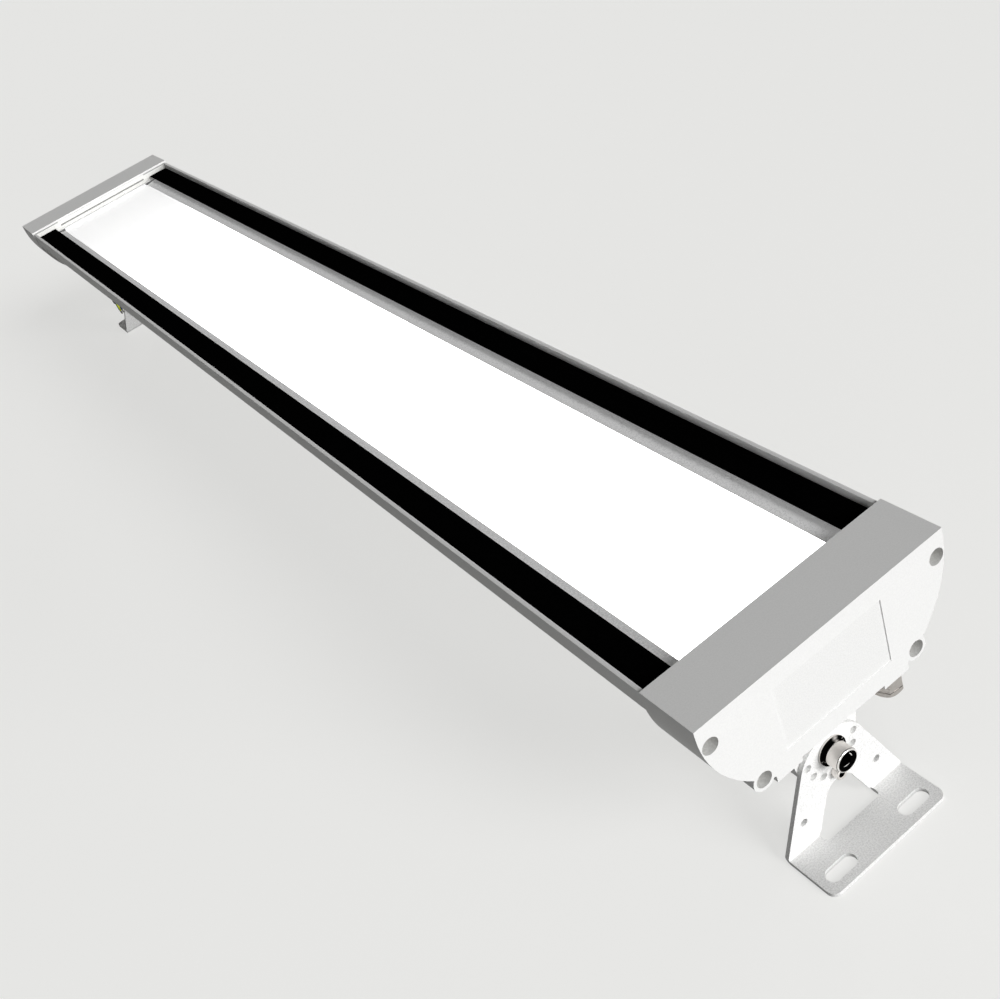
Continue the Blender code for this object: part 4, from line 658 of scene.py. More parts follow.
# Fired ceramic enamel: a dense black under the glass, with hardly a reflection.
black_enamel = even_finish(
    "black_enamel", {"IOR": 1.5, "Roughness": 0.15, "Specular IOR Level": 0.0},
    "#020202", "#040404", grain_mm=1.0)

glass = block("toughened_glass", (-GLASS_HALF, -GLASS_END, GLASS_BOTTOM),
              (GLASS_HALF, GLASS_END, GLASS_TOP))
modify(glass, "BEVEL", width=ARRIS, segments=1, limit_method="ANGLE")
for side in (-1, 1):
    for half in (ENAMEL_HALF, ENAMEL_UNDER_HALF):
        slice_mesh(glass, (side * half, 0, 0), (1, 0, 0))
coat(glass, clear_glass, black_enamel)
finish_faces(glass, 1, lambda middle, normal: abs(middle.x) > ENAMEL_UNDER_HALF
             or abs(middle.x) > ENAMEL_HALF and normal.z > 0.9)
settle(glass, "luminaire", "clear_glass", "cover_glass")

# Painted shade lines
# A thin grey bead lies on the glass at each end, over the width of the opening. It stands for the
# shadow line along the glass's end: painted shade.
BEAD_HALF = 0.0559
BEAD_RADIUS = 0.0007
BEAD_RISE = 0.6               # of its radius, from the glass to the bead's middle
BEAD_Y = 0.5562

# Grey bead of painted shade: matt, a little uneven.
shade_line_grey = even_finish("painted_shade_line", {"IOR": 1.41, "Roughness": 0.6}, "#7A7A79", "#888887",
                      grain_mm=2.0)

for end, way in (("near", -1), ("far", 1)):
    bead = rod(f"{end}_shade_line_bead", (way * BEAD_Y, GLASS_TOP + BEAD_RADIUS * BEAD_RISE),
               BEAD_RADIUS, -BEAD_HALF, BEAD_HALF, 16, "X")
    coat(bead, shade_line_grey)
    settle(smooth(bead), "luminaire", "white_silicone")

# End caps
# Two equal aluminium die castings, powder coated. Each is a shallow box that covers the end of the
# extrusion, with sinks for four screws, an empty recess for a label and a lug for the pivot.
CAP_FRONT = 0.600
CAP_BACK = 0.558
CAP_BOTTOM = 0.0996
CAP_TOP = 0.1738
SHOULDER = 0.1678
FLANK_RADIUS = 0.07597
FLANK_CENTRE = 0.01403
WALL = 0.003
EAR_X, EAR_Z, EAR_RADIUS = 0.0587, 0.1066, 0.0076
UPPER_X, UPPER_Z = 0.0832, 0.1576
HOLLOW_HALF, HOLLOW_FOOT_HALF, BOSS_TOP = 0.0735, 0.0495, 0.1172
MOUTH_TOP = 0.1518
PAD_LOW_X, PAD_HIGH_X, PAD_BOTTOM = 0.032, 0.051, 0.0965
ENTRY_X, ENTRY_Y = 0.042, 0.5904
ENTRY_HOLE, ENTRY_BOSS, ENTRY_BOSS_TOP = 0.0063, 0.0083, 0.1076
PIVOT_Z = 0.0609
LUG_RADIUS, LUG_HALF, LUG_BACK, LUG_FRONT = 0.024, 0.031, 0.5669, 0.5789
LUG_PIVOT_HOLE, LUG_INDEX_HOLE = 0.0053, 0.0025
INDEX_Z = 0.0424
SINK_RADIUS, SINK_DEPTH, BORE_RADIUS = 0.0054, 0.0135, 0.0023
# Deeper than the next depth, a sink's wall is darker, as painted shade.
SINK_SHADE_START = 0.0005             # this far down, a sink's wall is still well coated
LABEL_HALF, LABEL_LOW, LABEL_HIGH, LABEL_DEPTH = 0.040, 0.1128, 0.1603, 0.0007
LABEL_SLOPE = 0.5
OVERRUN = 0.004               # how far a cutter stands out of the piece
SKIN = 0.0001                 # a face or corner nearer than this to a surface lies on it


def combine(piece, operation, *others):
    """Joins pieces to one, or cuts them from it, and does away with them."""
    for other in others:
        modify(piece, "BOOLEAN", operation=operation, object=other, solver="EXACT")
        bpy.data.objects.remove(other)
    return piece


def hull(name, *pieces):
    """The tight skin round several pieces, such as a tapering plate round a disc and a bar."""
    tight = join(name, pieces)
    edit_all(tight)
    bpy.ops.mesh.convex_hull()
    leave_edit()
    return tight


def drill(name, middle, radius, low, high, facets=64, axis="Y"):
    """The cutter for a hole right through: a rod that overruns at both ends."""
    return rod(name, middle, radius, low - OVERRUN, high + OVERRUN, facets, axis)


def section_block(name, inset, back, front, top):
    """A stretch of the light's own section: flat below, round in the flanks, upright above."""
    half = rod(name, (FLANK_CENTRE, SHOULDER), FLANK_RADIUS - inset, back, front, 256)
    slice_mesh(half, (0, 0, CAP_BOTTOM + inset), (0, 0, 1), clear_inner=True, fill=True)
    slice_mesh(half, (0, 0, SHOULDER), (0, 0, 1), clear_outer=True, fill=True)
    select_faces(half, lambda middle, normal: normal.z > 0.9)
    bpy.ops.mesh.extrude_region_move(TRANSFORM_OT_translate={"value": (0, 0, top - SHOULDER)})
    leave_edit()
    slice_mesh(half, (0, 0, 0), (1, 0, 0), clear_inner=True)
    return modify(half, "MIRROR", use_mirror_merge=True, merge_threshold=WELD)


def hollow(name, back, front, top):
    """The room inside a cap, between the bosses of its four screws."""
    room = section_block(name, WALL, back, front, top)
    for side in (-1, 1):
        slice_mesh(room, (side * HOLLOW_HALF, 0, 0), (side, 0, 0), clear_outer=True, fill=True)
        inner, outer = sorted((side * HOLLOW_FOOT_HALF, side * LAMP_HALF_WIDTH))
        combine(room, "DIFFERENCE", block("boss", (inner, back - OVERRUN, CAP_BOTTOM),
                                          (outer, front + OVERRUN, BOSS_TOP)))
    return room


def at_both_ends(piece, what, slot, node, tilts=False):
    """Settles a piece of the far end, and its copy turned round to the near end."""
    twin = piece.copy()
    twin.data = piece.data.copy()
    bpy.context.scene.collection.objects.link(twin)
    twin.data.transform(Matrix.Rotation(pi, 4, "Z"))
    for end, thing in (("far", piece), ("near", twin)):
        thing.name = thing.data.name = f"{end}_{what}"
        settle(thing, f"{end}_bracket" if tilts else "luminaire", slot, f"{end}_{node}")


screw_places = [(-UPPER_X, UPPER_Z), (UPPER_X, UPPER_Z), (-EAR_X, EAR_Z), (EAR_X, EAR_Z)]

cap = section_block("cap", 0, CAP_BACK, CAP_FRONT, CAP_TOP)
for side in (-1, 1):
    low_x, high_x = sorted((side * PAD_LOW_X, side * PAD_HIGH_X))
    combine(cap, "UNION", rod("ear", (side * EAR_X, EAR_Z), EAR_RADIUS, CAP_BACK, CAP_FRONT, 96),
            block("pad", (low_x, CAP_BACK, PAD_BOTTOM), (high_x, CAP_FRONT, CAP_BOTTOM + WALL)))
lug = hull("lug", rod("disc", (0, PIVOT_Z), LUG_RADIUS, LUG_BACK, LUG_FRONT, 128),
           block("root", (-LUG_HALF, LUG_BACK, CAP_BOTTOM), (LUG_HALF, LUG_FRONT,
                                                             CAP_BOTTOM + WALL / 2)))
combine(cap, "UNION", lug)
combine(cap, "DIFFERENCE", hollow("cavity", CAP_BACK + WALL, CAP_FRONT - WALL, CAP_TOP - WALL))
combine(cap, "DIFFERENCE", hollow("mouth", CAP_BACK - OVERRUN, CAP_BACK + WALL + OVERRUN,
                                  MOUTH_TOP))
combine(cap, "UNION", rod("boss", (-ENTRY_X, ENTRY_Y), ENTRY_BOSS, CAP_BOTTOM + WALL / 2,
                          ENTRY_BOSS_TOP, 64, "Z"))
openings = [drill("entry", (-ENTRY_X, ENTRY_Y), ENTRY_HOLE, PAD_BOTTOM, ENTRY_BOSS_TOP, 64, "Z"),
            drill("pivot", (0, PIVOT_Z), LUG_PIVOT_HOLE, LUG_BACK, LUG_FRONT),
            drill("index", (0, INDEX_Z), LUG_INDEX_HOLE, LUG_BACK, LUG_FRONT, 32)]
for x, z in screw_places:
    openings.append(rod("sink", (x, z), SINK_RADIUS, CAP_FRONT - SINK_DEPTH,
                        CAP_FRONT + OVERRUN, 96))
combine(cap, "DIFFERENCE", join("openings", openings))
inner_step, outer_step = LABEL_SLOPE * LABEL_DEPTH, LABEL_SLOPE * OVERRUN
label = block("label", (-LABEL_HALF, CAP_FRONT - LABEL_DEPTH, LABEL_LOW - outer_step),
              (LABEL_HALF + outer_step, CAP_FRONT + OVERRUN, LABEL_HIGH))
for vertex in label.data.vertices:
    if vertex.co.y < CAP_FRONT:
        vertex.co.x = min(vertex.co.x, LABEL_HALF - inner_step)
        vertex.co.z = max(vertex.co.z, LABEL_LOW + inner_step)
combine(cap, "DIFFERENCE", label)
combine(cap, "DIFFERENCE", join("bores", [rod("bore", place, BORE_RADIUS, CAP_BACK - OVERRUN,
                                              CAP_FRONT, 32) for place in screw_places]))

# The label's recess: the same coat, sprayed thinner over a sand-blasted floor.
label_coat = even_finish(
    "sand_blasted_coat", {"IOR": 1.5, "Roughness": 0.6}, "#DADAD9", "#E4E4E3",
    grain_mm=0.4, relief_mm=0.03, detail=4.0, fineness=0.7, low=0.38, high=0.62)

# Painted shade in the deep sinks of the screws: below the rim their walls take this greyer coat.
sink_shade_coat = even_finish(
    "sink_shade_powder_coat", {"IOR": 1.5, "Roughness": 0.6, "Specular IOR Level": 0.2},
    "#CACAC8", "#DEDEDC", grain_mm=0.6, relief_mm=0.02)

coat(cap, fine_powder, label_coat, sink_shade_coat)
edit_all(cap)
bpy.ops.mesh.remove_doubles(threshold=2 * WELD)
leave_edit()
smooth(cap, 40)
modify(cap, "WEIGHTED_NORMAL", keep_sharp=True, weight=80)
finish_faces(cap, 1, lambda middle, normal: normal.y > 0.99 and abs(middle.x) < LABEL_HALF
             and abs(middle.y - CAP_FRONT + LABEL_DEPTH) < SKIN)
# Painted shade: the walls deep in the sinks take the greyer coat.
finish_faces(cap, 2, lambda middle, normal: middle.y < CAP_FRONT - SINK_SHADE_START and any(
    sqrt((middle.x - x) ** 2 + (middle.z - z) ** 2) < SINK_RADIUS + SKIN
    for x, z in screw_places) and middle.y > CAP_FRONT - SINK_DEPTH - SKIN)
at_both_ends(cap, "cap_casting", "powder_coated_aluminium", "end_cap")

# Silicone gaskets between the caps and the extrusion: white, matt, punched from sheet, with a line
# of painted shade where they end under the cap's rim.
RIM_SHADE_LOW, RIM_SHADE_INNER = 0.1709, 0.058
silicone, tree, shader = new_material("white_silicone", {"IOR": 1.41, "Roughness": 0.6})
mottle(tree, shader, grain(tree, 0.8), "#DCDCD8", "#E7E7E4")
x, y, z = object_axes(tree)
# Painted shade: grey where the gaskets pass under the cap's rim.
across = add_node(tree, "Math", {0: x}, operation="ABSOLUTE")
outside = add_node(tree, "Math", {0: across, 1: RIM_SHADE_INNER}, operation="GREATER_THAN")
above = add_node(tree, "Math", {0: z, 1: RIM_SHADE_LOW}, operation="GREATER_THAN")
rim_shade_mask = add_node(tree, "Math", {0: outside, 1: above}, operation="MULTIPLY")
patch(tree, shader, rim_shade_mask, "#A2A2A0")
dress(silicone, "near_end_gasket", "far_end_gasket")

# Cap screws
# Stainless socket screws, deep in the sinks of the caps. They bite into the extrusion's ports,
# and press each cap on its gasket.
cap_screw_sizes = {"head_radius": 0.0042, "seat": 0.5868, "top": 0.5903, "socket_radius": 0.0019,
                   "socket_depth": 0.0020, "shank_radius": 0.0020, "tail": 0.5368,
                   "rim": 0.0006, "dish": 0.0002}


def socket_screw(name, place, head_radius, seat, top, socket_radius, socket_depth,
                 shank_radius, tail, rim, dish):
    """A screw that looks outwards: a head with a round rim, a dished face and a hex socket."""
    head = rod(name, place, head_radius, seat, top, 96)
    select_faces(head, lambda middle, normal: normal.y > 0.99)
    bpy.ops.mesh.bevel(offset=rim, segments=4, affect="EDGES")
    leave_edit()
    select_faces(head, lambda middle, normal: normal.y > 0.999)
    bpy.ops.mesh.inset(thickness=head_radius - rim - socket_radius)
    bpy.ops.transform.translate(value=(0, -dish, 0))
    leave_edit()
    combine(head, "DIFFERENCE", rod("socket", place, socket_radius, top - dish - socket_depth,
                                    top + OVERRUN, 6))
    shank = rod("shank", place, shank_radius, tail, seat + rim, 64)
    modify(shank, "BEVEL", width=shank_radius / 5, segments=2, limit_method="ANGLE")
    return combine(head, "UNION", shank)


# Turned stainless steel: bright and slightly warm, with fine tool marks round its axis.
stainless = even_finish("turned_stainless_steel", {"Metallic": 1.0}, "#E0DCD8", "#E6E2DF",
                        grain_mm=2.5, rough=(0.40, 0.46), detail=3.0)

for index, place in enumerate(screw_places, 1):
    screw = socket_screw("cap_screw", place, **cap_screw_sizes)
    coat(screw, stainless)
    smooth(screw)
    at_both_ends(screw, f"socket_screw_{index}", "stainless_steel", f"cap_screw_{index}")

# Brackets
# Laser-cut steel sheet, 3 mm thick, folded to a foot with two slots. The upright plate has a ring
# of index holes round the pivot, and a window that runs on into the foot.
SHEET = 0.003
PLATE_BACK, PLATE_FRONT = 0.5792, 0.5822
FOLD_RADIUS = 0.001
PLATE_TOP = 0.0869
FOOT_END = 0.6178
FOOT_HALF = 0.0475
SIDE_START = 0.0048
FOOT_CORNER = 0.006
TOP_DISC, TOP_DISC_Z = 0.026, 0.0498
BRACKET_PIVOT_HOLE = 0.0054
INDEX_RING, INDEX_HOLE, INDEX_COUNT, INDEX_STEP = 0.0185, 0.0026, 7, radians(30)
WINDOW_DISC, WINDOW_DISC_Z = 0.0115, 0.0235
WINDOW_HALF, WINDOW_FOOT_HALF, WINDOW_END, WINDOW_CORNER = 0.0205, 0.0227, 0.5892, 0.0035
WINDOW_LAP, WINDOW_FOOT_LAP = 0.0004, 0.0003      # how far its cutters overlap
SLOT_X, SLOT_Y, SLOT_HALF_RUN, SLOT_RADIUS = 0.0305, 0.6070, 0.00625, 0.005
LEG_HOLE_Z, LEG_HOLE_RADIUS = 0.0232, 0.00265
CUT_EDGE = 0.0003


def select_corners(piece, kind, test):
    """In edit mode, selects the corners that pass a test, or the edges between such corners."""
    bpy.ops.mesh.select_mode(type="VERT")
    bpy.ops.mesh.select_all(action="DESELECT")
    shape = bmesh.from_edit_mesh(piece.data)
    for vertex in shape.verts:
        vertex.select = test(vertex.co)
    shape.select_flush_mode()
    bmesh.update_edit_mesh(piece.data)
    bpy.ops.mesh.select_mode(type=kind)


clear_selection()
middle_y = (PLATE_BACK + PLATE_FRONT) / 2
bpy.ops.mesh.primitive_plane_add(size=1, location=(0, (middle_y + FOOT_END) / 2, SHEET / 2))
bpy.context.object.scale = (2 * FOOT_HALF, FOOT_END - middle_y, 1)
bracket = named("bracket")
edit_all(bracket)
select_corners(bracket, "VERT", lambda corner: corner.y > FOOT_END - SKIN)
bpy.ops.mesh.bevel(offset=FOOT_CORNER, segments=12, affect="VERTICES")
select_corners(bracket, "EDGE", lambda corner: corner.y < middle_y + SKIN)
bpy.ops.mesh.extrude_region_move(
    TRANSFORM_OT_translate={"value": (0, 0, PLATE_TOP - SHEET / 2)})
select_corners(bracket, "EDGE", lambda corner: corner.y < middle_y + SKIN and corner.z < SHEET)
bpy.ops.mesh.bevel(offset=FOLD_RADIUS + SHEET / 2, segments=8, affect="EDGES")
bpy.ops.mesh.select_all(action="SELECT")
bpy.ops.mesh.normals_make_consistent(inside=False)
leave_edit()
modify(bracket, "SOLIDIFY", thickness=SHEET, offset=0, use_even_offset=True)

low_y, high_y = PLATE_BACK - OVERRUN, FOOT_END + OVERRUN
front = hull("front", rod("disc", (0, TOP_DISC_Z), TOP_DISC, low_y, high_y, 192),
             block("foot", (-FOOT_HALF, low_y, -OVERRUN), (FOOT_HALF, high_y, SIDE_START)))
combine(bracket, "INTERSECT", front)
bend_end = PLATE_FRONT + FOLD_RADIUS
window = hull("window", rod("disc", (0, WINDOW_DISC_Z), WINDOW_DISC, low_y, bend_end, 96),
              block("foot", (-WINDOW_HALF, low_y, SIDE_START - WINDOW_LAP),
                    (WINDOW_HALF, bend_end, SIDE_START)))
window_root = hull("root", block("low", (-WINDOW_FOOT_HALF, low_y, -OVERRUN),
                                 (WINDOW_FOOT_HALF, bend_end, SHEET)),
                   block("high", (-WINDOW_HALF, low_y, SHEET),
                         (WINDOW_HALF, bend_end, SIDE_START)))
corner_x, corner_y = WINDOW_FOOT_HALF - WINDOW_CORNER, WINDOW_END - WINDOW_CORNER
window_foot = hull("foot_window",
                   block("start", (-WINDOW_FOOT_HALF, bend_end - WINDOW_FOOT_LAP, -OVERRUN),
                         (WINDOW_FOOT_HALF, bend_end, SHEET + OVERRUN)),
                   *[drill("corner", (side * corner_x, corner_y), WINDOW_CORNER, 0, SHEET, 48, "Z")
                     for side in (-1, 1)])
combine(bracket, "DIFFERENCE", window, window_root, window_foot)
holes = [rod("pivot", (0, PIVOT_Z), BRACKET_PIVOT_HOLE, low_y, high_y, 96)]
for step in range(INDEX_COUNT):
    turn = INDEX_STEP * step
    holes.append(rod("index", (INDEX_RING * cos(turn), PIVOT_Z - INDEX_RING * sin(turn)),
                     INDEX_HOLE, low_y, high_y, 48))
for side in (-1, 1):
    holes.append(rod("leg", (side * SLOT_X, LEG_HOLE_Z), LEG_HOLE_RADIUS, low_y, high_y, 48))
    holes.append(hull("slot", *[drill("end", (side * SLOT_X + way * SLOT_HALF_RUN, SLOT_Y),
                                      SLOT_RADIUS, 0, SHEET, 64, "Z") for way in (-1, 1)]))
combine(bracket, "DIFFERENCE", join("holes", holes))

# Textured powder coat on steel: a coarser, speckled skin whose grains are about 1 mm apart.
speckled_powder = even_finish(
    "textured_powder_coat", {"IOR": 1.5, "Specular IOR Level": 0.3}, "#DADAD9", "#F6F6F5",
    grain_mm=0.5, rough=(0.45, 0.7), relief_mm=0.04, detail=4.0, fineness=0.75,
    low=0.40, high=0.60)

coat(bracket, speckled_powder)
round_edges(bracket, CUT_EDGE, 2, 40)
at_both_ends(bracket, "folded_bracket", "powder_coated_steel", "bracket", tilts=True)

# Pivot bolt, washers and nut
# An M10 socket-head bolt holds each bracket to its lug, over a flat and a spring washer. The nut is
# behind the lug. All are bright stainless steel, which mirrors the dark side of the studio in the
# bolt's end and on the washers. The dark finishes below are painted reflections of that, and the
# bright streaks and glints are painted highlights.
BOLT_SEAT, BOLT_TOP, BOLT_TAIL = 0.5863, 0.5952, 0.5562
BOLT_HEAD, BOLT_RIM, BOLT_DISH, BOLT_SHANK = 0.008, 0.0010, 0.0012, 0.005
BOLT_SOCKET, BOLT_SOCKET_DEPTH, SOCKET_TURN = 0.0046, 0.005, radians(38)
GLINT_INNER, GLINT_HALF, GLINT_LEFT, GLINT_TOP = 0.0038, 0.001, -0.0035, 0.002
WASHER_LOW, WASHER_HIGH, WASHER_RADIUS, WASHER_EDGE = 0.5825, 0.5845, 0.010, 0.0003
WASHER_FOOT = 0.0009
SPRING_LOW, SPRING_HIGH, SPRING_RADIUS, SPRING_EDGE = 0.5848, 0.5860, 0.0086, 0.0001
SPLIT_HALF, SPLIT_REACH, SPLIT_LEAN = 0.0004, 0.004, radians(70)
BOLT_BORE = 0.0053
NUT_LOW, NUT_HIGH, NUT_ACROSS, NUT_CHAMFER, NUT_EDGE = 0.5582, 0.5666, 0.016, 0.0010, 0.00015
# Painted reflection and highlights on the washers: the dark studio, and bright streaks.
DARK_REFLECTION_HEX, HIGHLIGHT_STREAK_HEX = "#060606", "#B4B0AC"
washer_highlights = ((186, 2.5), (30, 2.5), (72, 14))      # degrees round the bolt: middle, half width

# Painted dark reflection and painted shade: a dense black, with hardly a reflection of its own. It
# stands for the dark studio in the bolt's end, and for the shade inside the index screws' sockets.
dark_reflection_and_shade = even_finish(
    "painted_dark_reflection_and_shade", {"IOR": 1.5, "Roughness": 0.3, "Specular IOR Level": 0.0},
    "#030303", "#080808", grain_mm=0.6)

# Polished steel: the burnished rim of the bolt, and two painted glints at the edges of its socket,
# almost white.
polished_steel = even_finish("polished_steel", {"Metallic": 1.0}, "#ECE9E6", "#F6F4F2",
                             grain_mm=1.0, rough=(0.08, 0.16))

# Faces of the washers: a painted dark reflection, broken by painted highlight streaks that run out
# from the bolt.
washer_reflection, tree, shader = new_material("washer_painted_reflection", {
    "IOR": 1.5, "Roughness": 0.35, "Specular IOR Level": 0.0})
place = add_node(tree, "TexCoord")
upright = add_node(tree, "Mapping", {
    "Rotation": (-pi / 2, 0, 0), "Location": (0, -PIVOT_Z, 0), "Vector": place.outputs["Object"]})
round_bolt = add_node(tree, "TexGradient", {"Vector": upright}, gradient_type="RADIAL")
highlight_ramp = add_node(tree, "ValToRGB", {"Fac": round_bolt.outputs["Fac"]})
for stop in highlight_ramp.color_ramp.elements:
    stop.color = linear(DARK_REFLECTION_HEX)
for turn, width in washer_highlights:
    share = (0.5 + turn / 360) % 1
    for step, hex_colour in ((-1, DARK_REFLECTION_HEX), (0, HIGHLIGHT_STREAK_HEX), (1, DARK_REFLECTION_HEX)):
        stop = highlight_ramp.color_ramp.elements.new(share + step * width / 360)
        stop.color = linear(hex_colour)
tree.links.new(highlight_ramp.outputs["Color"], shader.inputs["Base Color"])


def reach(middle, z=PIVOT_Z):
    """Distance of a face from an axis along the light, the pivot's unless told."""
    return sqrt(middle.x ** 2 + (middle.z - z) ** 2)


bolt = socket_screw("bolt", (0, 0), BOLT_HEAD, BOLT_SEAT, BOLT_TOP, BOLT_SOCKET,
                    BOLT_SOCKET_DEPTH, BOLT_SHANK, BOLT_TAIL, BOLT_RIM, BOLT_DISH)
bolt.data.transform(Matrix.Translation((0, 0, PIVOT_Z)) @ Matrix.Rotation(-SOCKET_TURN, 4, "Y"))
coat(bolt, stainless, dark_reflection_and_shade, polished_steel)
inner = BOLT_HEAD - BOLT_RIM
finish_faces(bolt, 2, lambda middle, normal: reach(middle) > inner
             and middle.y > BOLT_TOP - BOLT_RIM)
# Painted reflection: the dished face, the socket and the outer edge of the rim are dark.
finish_faces(bolt, 1, lambda middle, normal: middle.y > BOLT_SEAT + BOLT_RIM
             and reach(middle) < inner
             or middle.y > BOLT_TOP - BOLT_RIM and reach(middle) > BOLT_HEAD - SKIN)
# Painted glints: the flats beside the socket, below it and on its left, take the polished steel.
finish_faces(bolt, 2, lambda middle, normal: normal.y > 0.99
             and GLINT_INNER < reach(middle) < BOLT_SOCKET and middle.z < PIVOT_Z + GLINT_TOP
             and (abs(middle.x) < GLINT_HALF or middle.x < GLINT_LEFT))
smooth(bolt)
at_both_ends(bolt, "socket_bolt", "stainless_steel", "pivot_bolt")

washer = rod("washer", (0, PIVOT_Z), WASHER_RADIUS, WASHER_LOW, WASHER_HIGH, 128)
combine(washer, "DIFFERENCE", drill("bore", (0, PIVOT_Z), BOLT_BORE, WASHER_LOW, WASHER_HIGH, 96))
coat(washer, stainless, washer_reflection)
round_edges(washer, WASHER_EDGE)
slice_mesh(washer, (0, WASHER_LOW + WASHER_FOOT, 0), (0, 1, 0))
finish_faces(washer, 1, lambda middle, normal: middle.y > WASHER_LOW + WASHER_FOOT)
at_both_ends(washer, "flat_washer", "stainless_steel", "pivot_washer")

spring = rod("spring", (0, PIVOT_Z), SPRING_RADIUS, SPRING_LOW, SPRING_HIGH, 128)
split_cut = block("split", (0, -SPLIT_HALF, -SPLIT_REACH),
                  (SPRING_RADIUS + OVERRUN, SPLIT_HALF, SPLIT_REACH))
split_cut.data.transform(Matrix.Translation((0, (SPRING_LOW + SPRING_HIGH) / 2, PIVOT_Z))
                         @ Matrix.Rotation(SPLIT_LEAN, 4, "X"))
combine(spring, "DIFFERENCE",
        drill("bore", (0, PIVOT_Z), BOLT_BORE, SPRING_LOW, SPRING_HIGH, 96), split_cut)
# Painted reflection: the spring washer is dark all over.
coat(spring, washer_reflection)
round_edges(spring, SPRING_EDGE, 1)
at_both_ends(spring, "split_washer", "stainless_steel", "spring_washer")

nut = rod("nut", (0, PIVOT_Z), NUT_ACROSS / sqrt(3), NUT_LOW, NUT_HIGH, 6)
nut_blank = rod("blank", (0, PIVOT_Z), NUT_ACROSS / sqrt(3), NUT_LOW, NUT_HIGH, 96)
modify(nut_blank, "BEVEL", width=NUT_CHAMFER, segments=1, limit_method="ANGLE")
combine(nut, "INTERSECT", nut_blank)
combine(nut, "DIFFERENCE", drill("bore", (0, PIVOT_Z), BOLT_BORE, NUT_LOW, NUT_HIGH))
coat(nut, stainless)
round_edges(nut, NUT_EDGE, 2, 25)
at_both_ends(nut, "hexagon_nut", "stainless_steel", "pivot_nut")

# Index screws
# Small stainless socket screws that lock the brackets to their lugs, each in the lowest index
# hole. The inside of a socket takes the dark finish, as painted shade.
index_screw_sizes = {"head_radius": 0.004, "seat": 0.5825, "top": 0.5875, "socket_radius": 0.0023,
                     "socket_depth": 0.0025, "shank_radius": 0.0022, "tail": 0.5795,
                     "rim": 0.0006, "dish": 0.0003}

index_screw = socket_screw("index", (0, INDEX_Z), **index_screw_sizes)
coat(index_screw, stainless, dark_reflection_and_shade)
dark_low, dark_high = index_screw_sizes["seat"] + SKIN, index_screw_sizes["top"] - SKIN
dark_radius = index_screw_sizes["socket_radius"] + SKIN
# Painted shade: the socket's inside is dark.
finish_faces(index_screw, 1, lambda middle, normal: dark_low < middle.y < dark_high
             and reach(middle, INDEX_Z) < dark_radius)
smooth(index_screw)
at_both_ends(index_screw, "lock_screw", "stainless_steel", "index_screw", tilts=True)

# Vent plug
# A hexagon plug of nickel-plated brass under the near cap, which lets the housing breathe through a
# membrane. It has a groove above its foot and a chamfered rim.
VENT_LOW, VENT_HIGH, VENT_CHAMFER = 0.0828, 0.0947, 0.0012
GROOVE_LOW, GROOVE_HIGH, GROOVE_FLOOR, GROOVE_REACH = 0.0862, 0.0868, 0.0078, 0.012
ENTRY_ACROSS = 0.016
ENTRY_TURN = radians(25)
THREAD_RADIUS, THREAD_TOP, THREAD_LAP = 0.006, 0.1081, 0.001
PLATED_EDGE = 0.0002


def turned_hexagon(name, low, high, chamfer):
    """A hexagon about Z at the origin, with its corners turned off below."""
    radius = ENTRY_ACROSS / sqrt(3)
    hexagon = rod(name, (0, 0), radius, low, high, 6, "Z")
    hexagon.data.transform(Matrix.Rotation(ENTRY_TURN, 4, "Z"))
    blank = rod("blank", (0, 0), radius, low, high + OVERRUN, 96, "Z")
    select_faces(blank, lambda middle, normal: normal.z < -0.9)
    bpy.ops.mesh.bevel(offset=chamfer, segments=1, affect="EDGES")
    leave_edit()
    return combine(hexagon, "INTERSECT", blank)


# Nickel-plated brass: a warm silver with a soft satin, a little uneven where the plating is thin.
nickel = even_finish("nickel_plated_brass", {"Metallic": 1.0}, "#B4AFAA", "#BFBBB7",
                     grain_mm=1.5, rough=(0.24, 0.34), detail=3.0)


def fit_entry(piece, name, side, node, angle=25):
    """Plates a piece that was turned about Z, and puts it in a cap's entry: -1 is the near cap."""
    coat(piece, nickel)
    round_edges(piece, PLATED_EDGE, 2, angle)
    piece.data.transform(Matrix.Translation((-side * ENTRY_X, side * ENTRY_Y, 0)))
    piece.name = piece.data.name = name
    settle(piece, "luminaire", "nickel_brass", node)


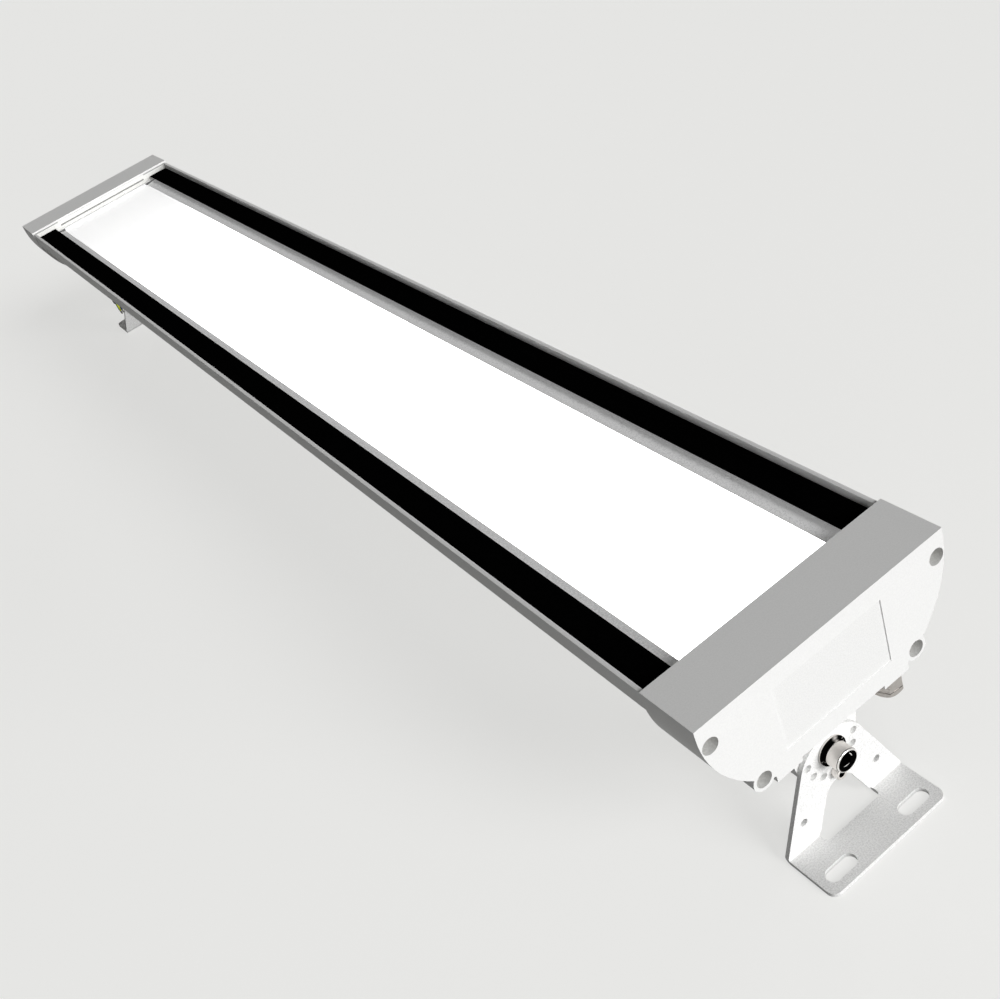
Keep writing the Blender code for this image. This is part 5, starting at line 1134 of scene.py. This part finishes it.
vent = turned_hexagon("vent", VENT_LOW, VENT_HIGH, VENT_CHAMFER)
ring = rod("groove", (0, 0), GROOVE_REACH, GROOVE_LOW, GROOVE_HIGH, 64, "Z")
combine(ring, "DIFFERENCE", rod("core", (0, 0), GROOVE_FLOOR, VENT_LOW, VENT_HIGH, 64, "Z"))
combine(vent, "DIFFERENCE", ring)
combine(vent, "UNION",
        rod("thread", (0, 0), THREAD_RADIUS, VENT_HIGH - THREAD_LAP, THREAD_TOP, 64, "Z"))
fit_entry(vent, "vent_body", -1, "vent_plug")

# Cable gland
# A nickel-plated brass gland under the far cap: a hexagon body screwed into the pad, and a domed
# nut that squeezes a rubber sleeve round the supply cable.
GLAND_HEX_LOW, GLAND_HEX_HIGH, GLAND_CHAMFER = 0.0905, 0.0947, 0.0006
SPIGOT_RADIUS, SPIGOT_LOW, GLAND_BORE, GLAND_BORE_TOP = 0.0067, 0.0845, 0.0055, 0.0903
CABLE_BORE = 0.0038
DOME_NUT, DOME_LOW, DOME_HIGH, DOME_MOUTH = 0.0084, 0.0828, 0.0902, 0.0039
DOME_ROUND, DOME_ROOM, DOME_ROOM_LOW = 0.0024, 0.0070, 0.0842

gland = turned_hexagon("gland", GLAND_HEX_LOW, GLAND_HEX_HIGH, GLAND_CHAMFER)
combine(gland, "UNION",
        rod("thread", (0, 0), THREAD_RADIUS, GLAND_HEX_HIGH - THREAD_LAP, THREAD_TOP, 64, "Z"),
        rod("spigot", (0, 0), SPIGOT_RADIUS, SPIGOT_LOW, GLAND_HEX_LOW + THREAD_LAP, 96, "Z"))
combine(gland, "DIFFERENCE",
        drill("bore", (0, 0), CABLE_BORE, SPIGOT_LOW, THREAD_TOP, 64, "Z"),
        rod("seat", (0, 0), GLAND_BORE, SPIGOT_LOW - OVERRUN, GLAND_BORE_TOP, 64, "Z"))
fit_entry(gland, "gland_hexagon", 1, "gland_body")

dome = rod("dome", (0, 0), DOME_NUT, DOME_LOW, DOME_HIGH, 96, "Z")
select_faces(dome, lambda middle, normal: normal.z < -0.9)
bpy.ops.mesh.bevel(offset=DOME_ROUND, segments=6, affect="EDGES")
leave_edit()
combine(dome, "DIFFERENCE",
        drill("mouth", (0, 0), DOME_MOUTH, DOME_LOW, DOME_HIGH, 64, "Z"),
        rod("room", (0, 0), DOME_ROOM, DOME_ROOM_LOW, DOME_HIGH + OVERRUN, 96, "Z"))
fit_entry(dome, "gland_dome", 1, "gland_nut", 40)

dress(black_rubber, "gland_sleeve")
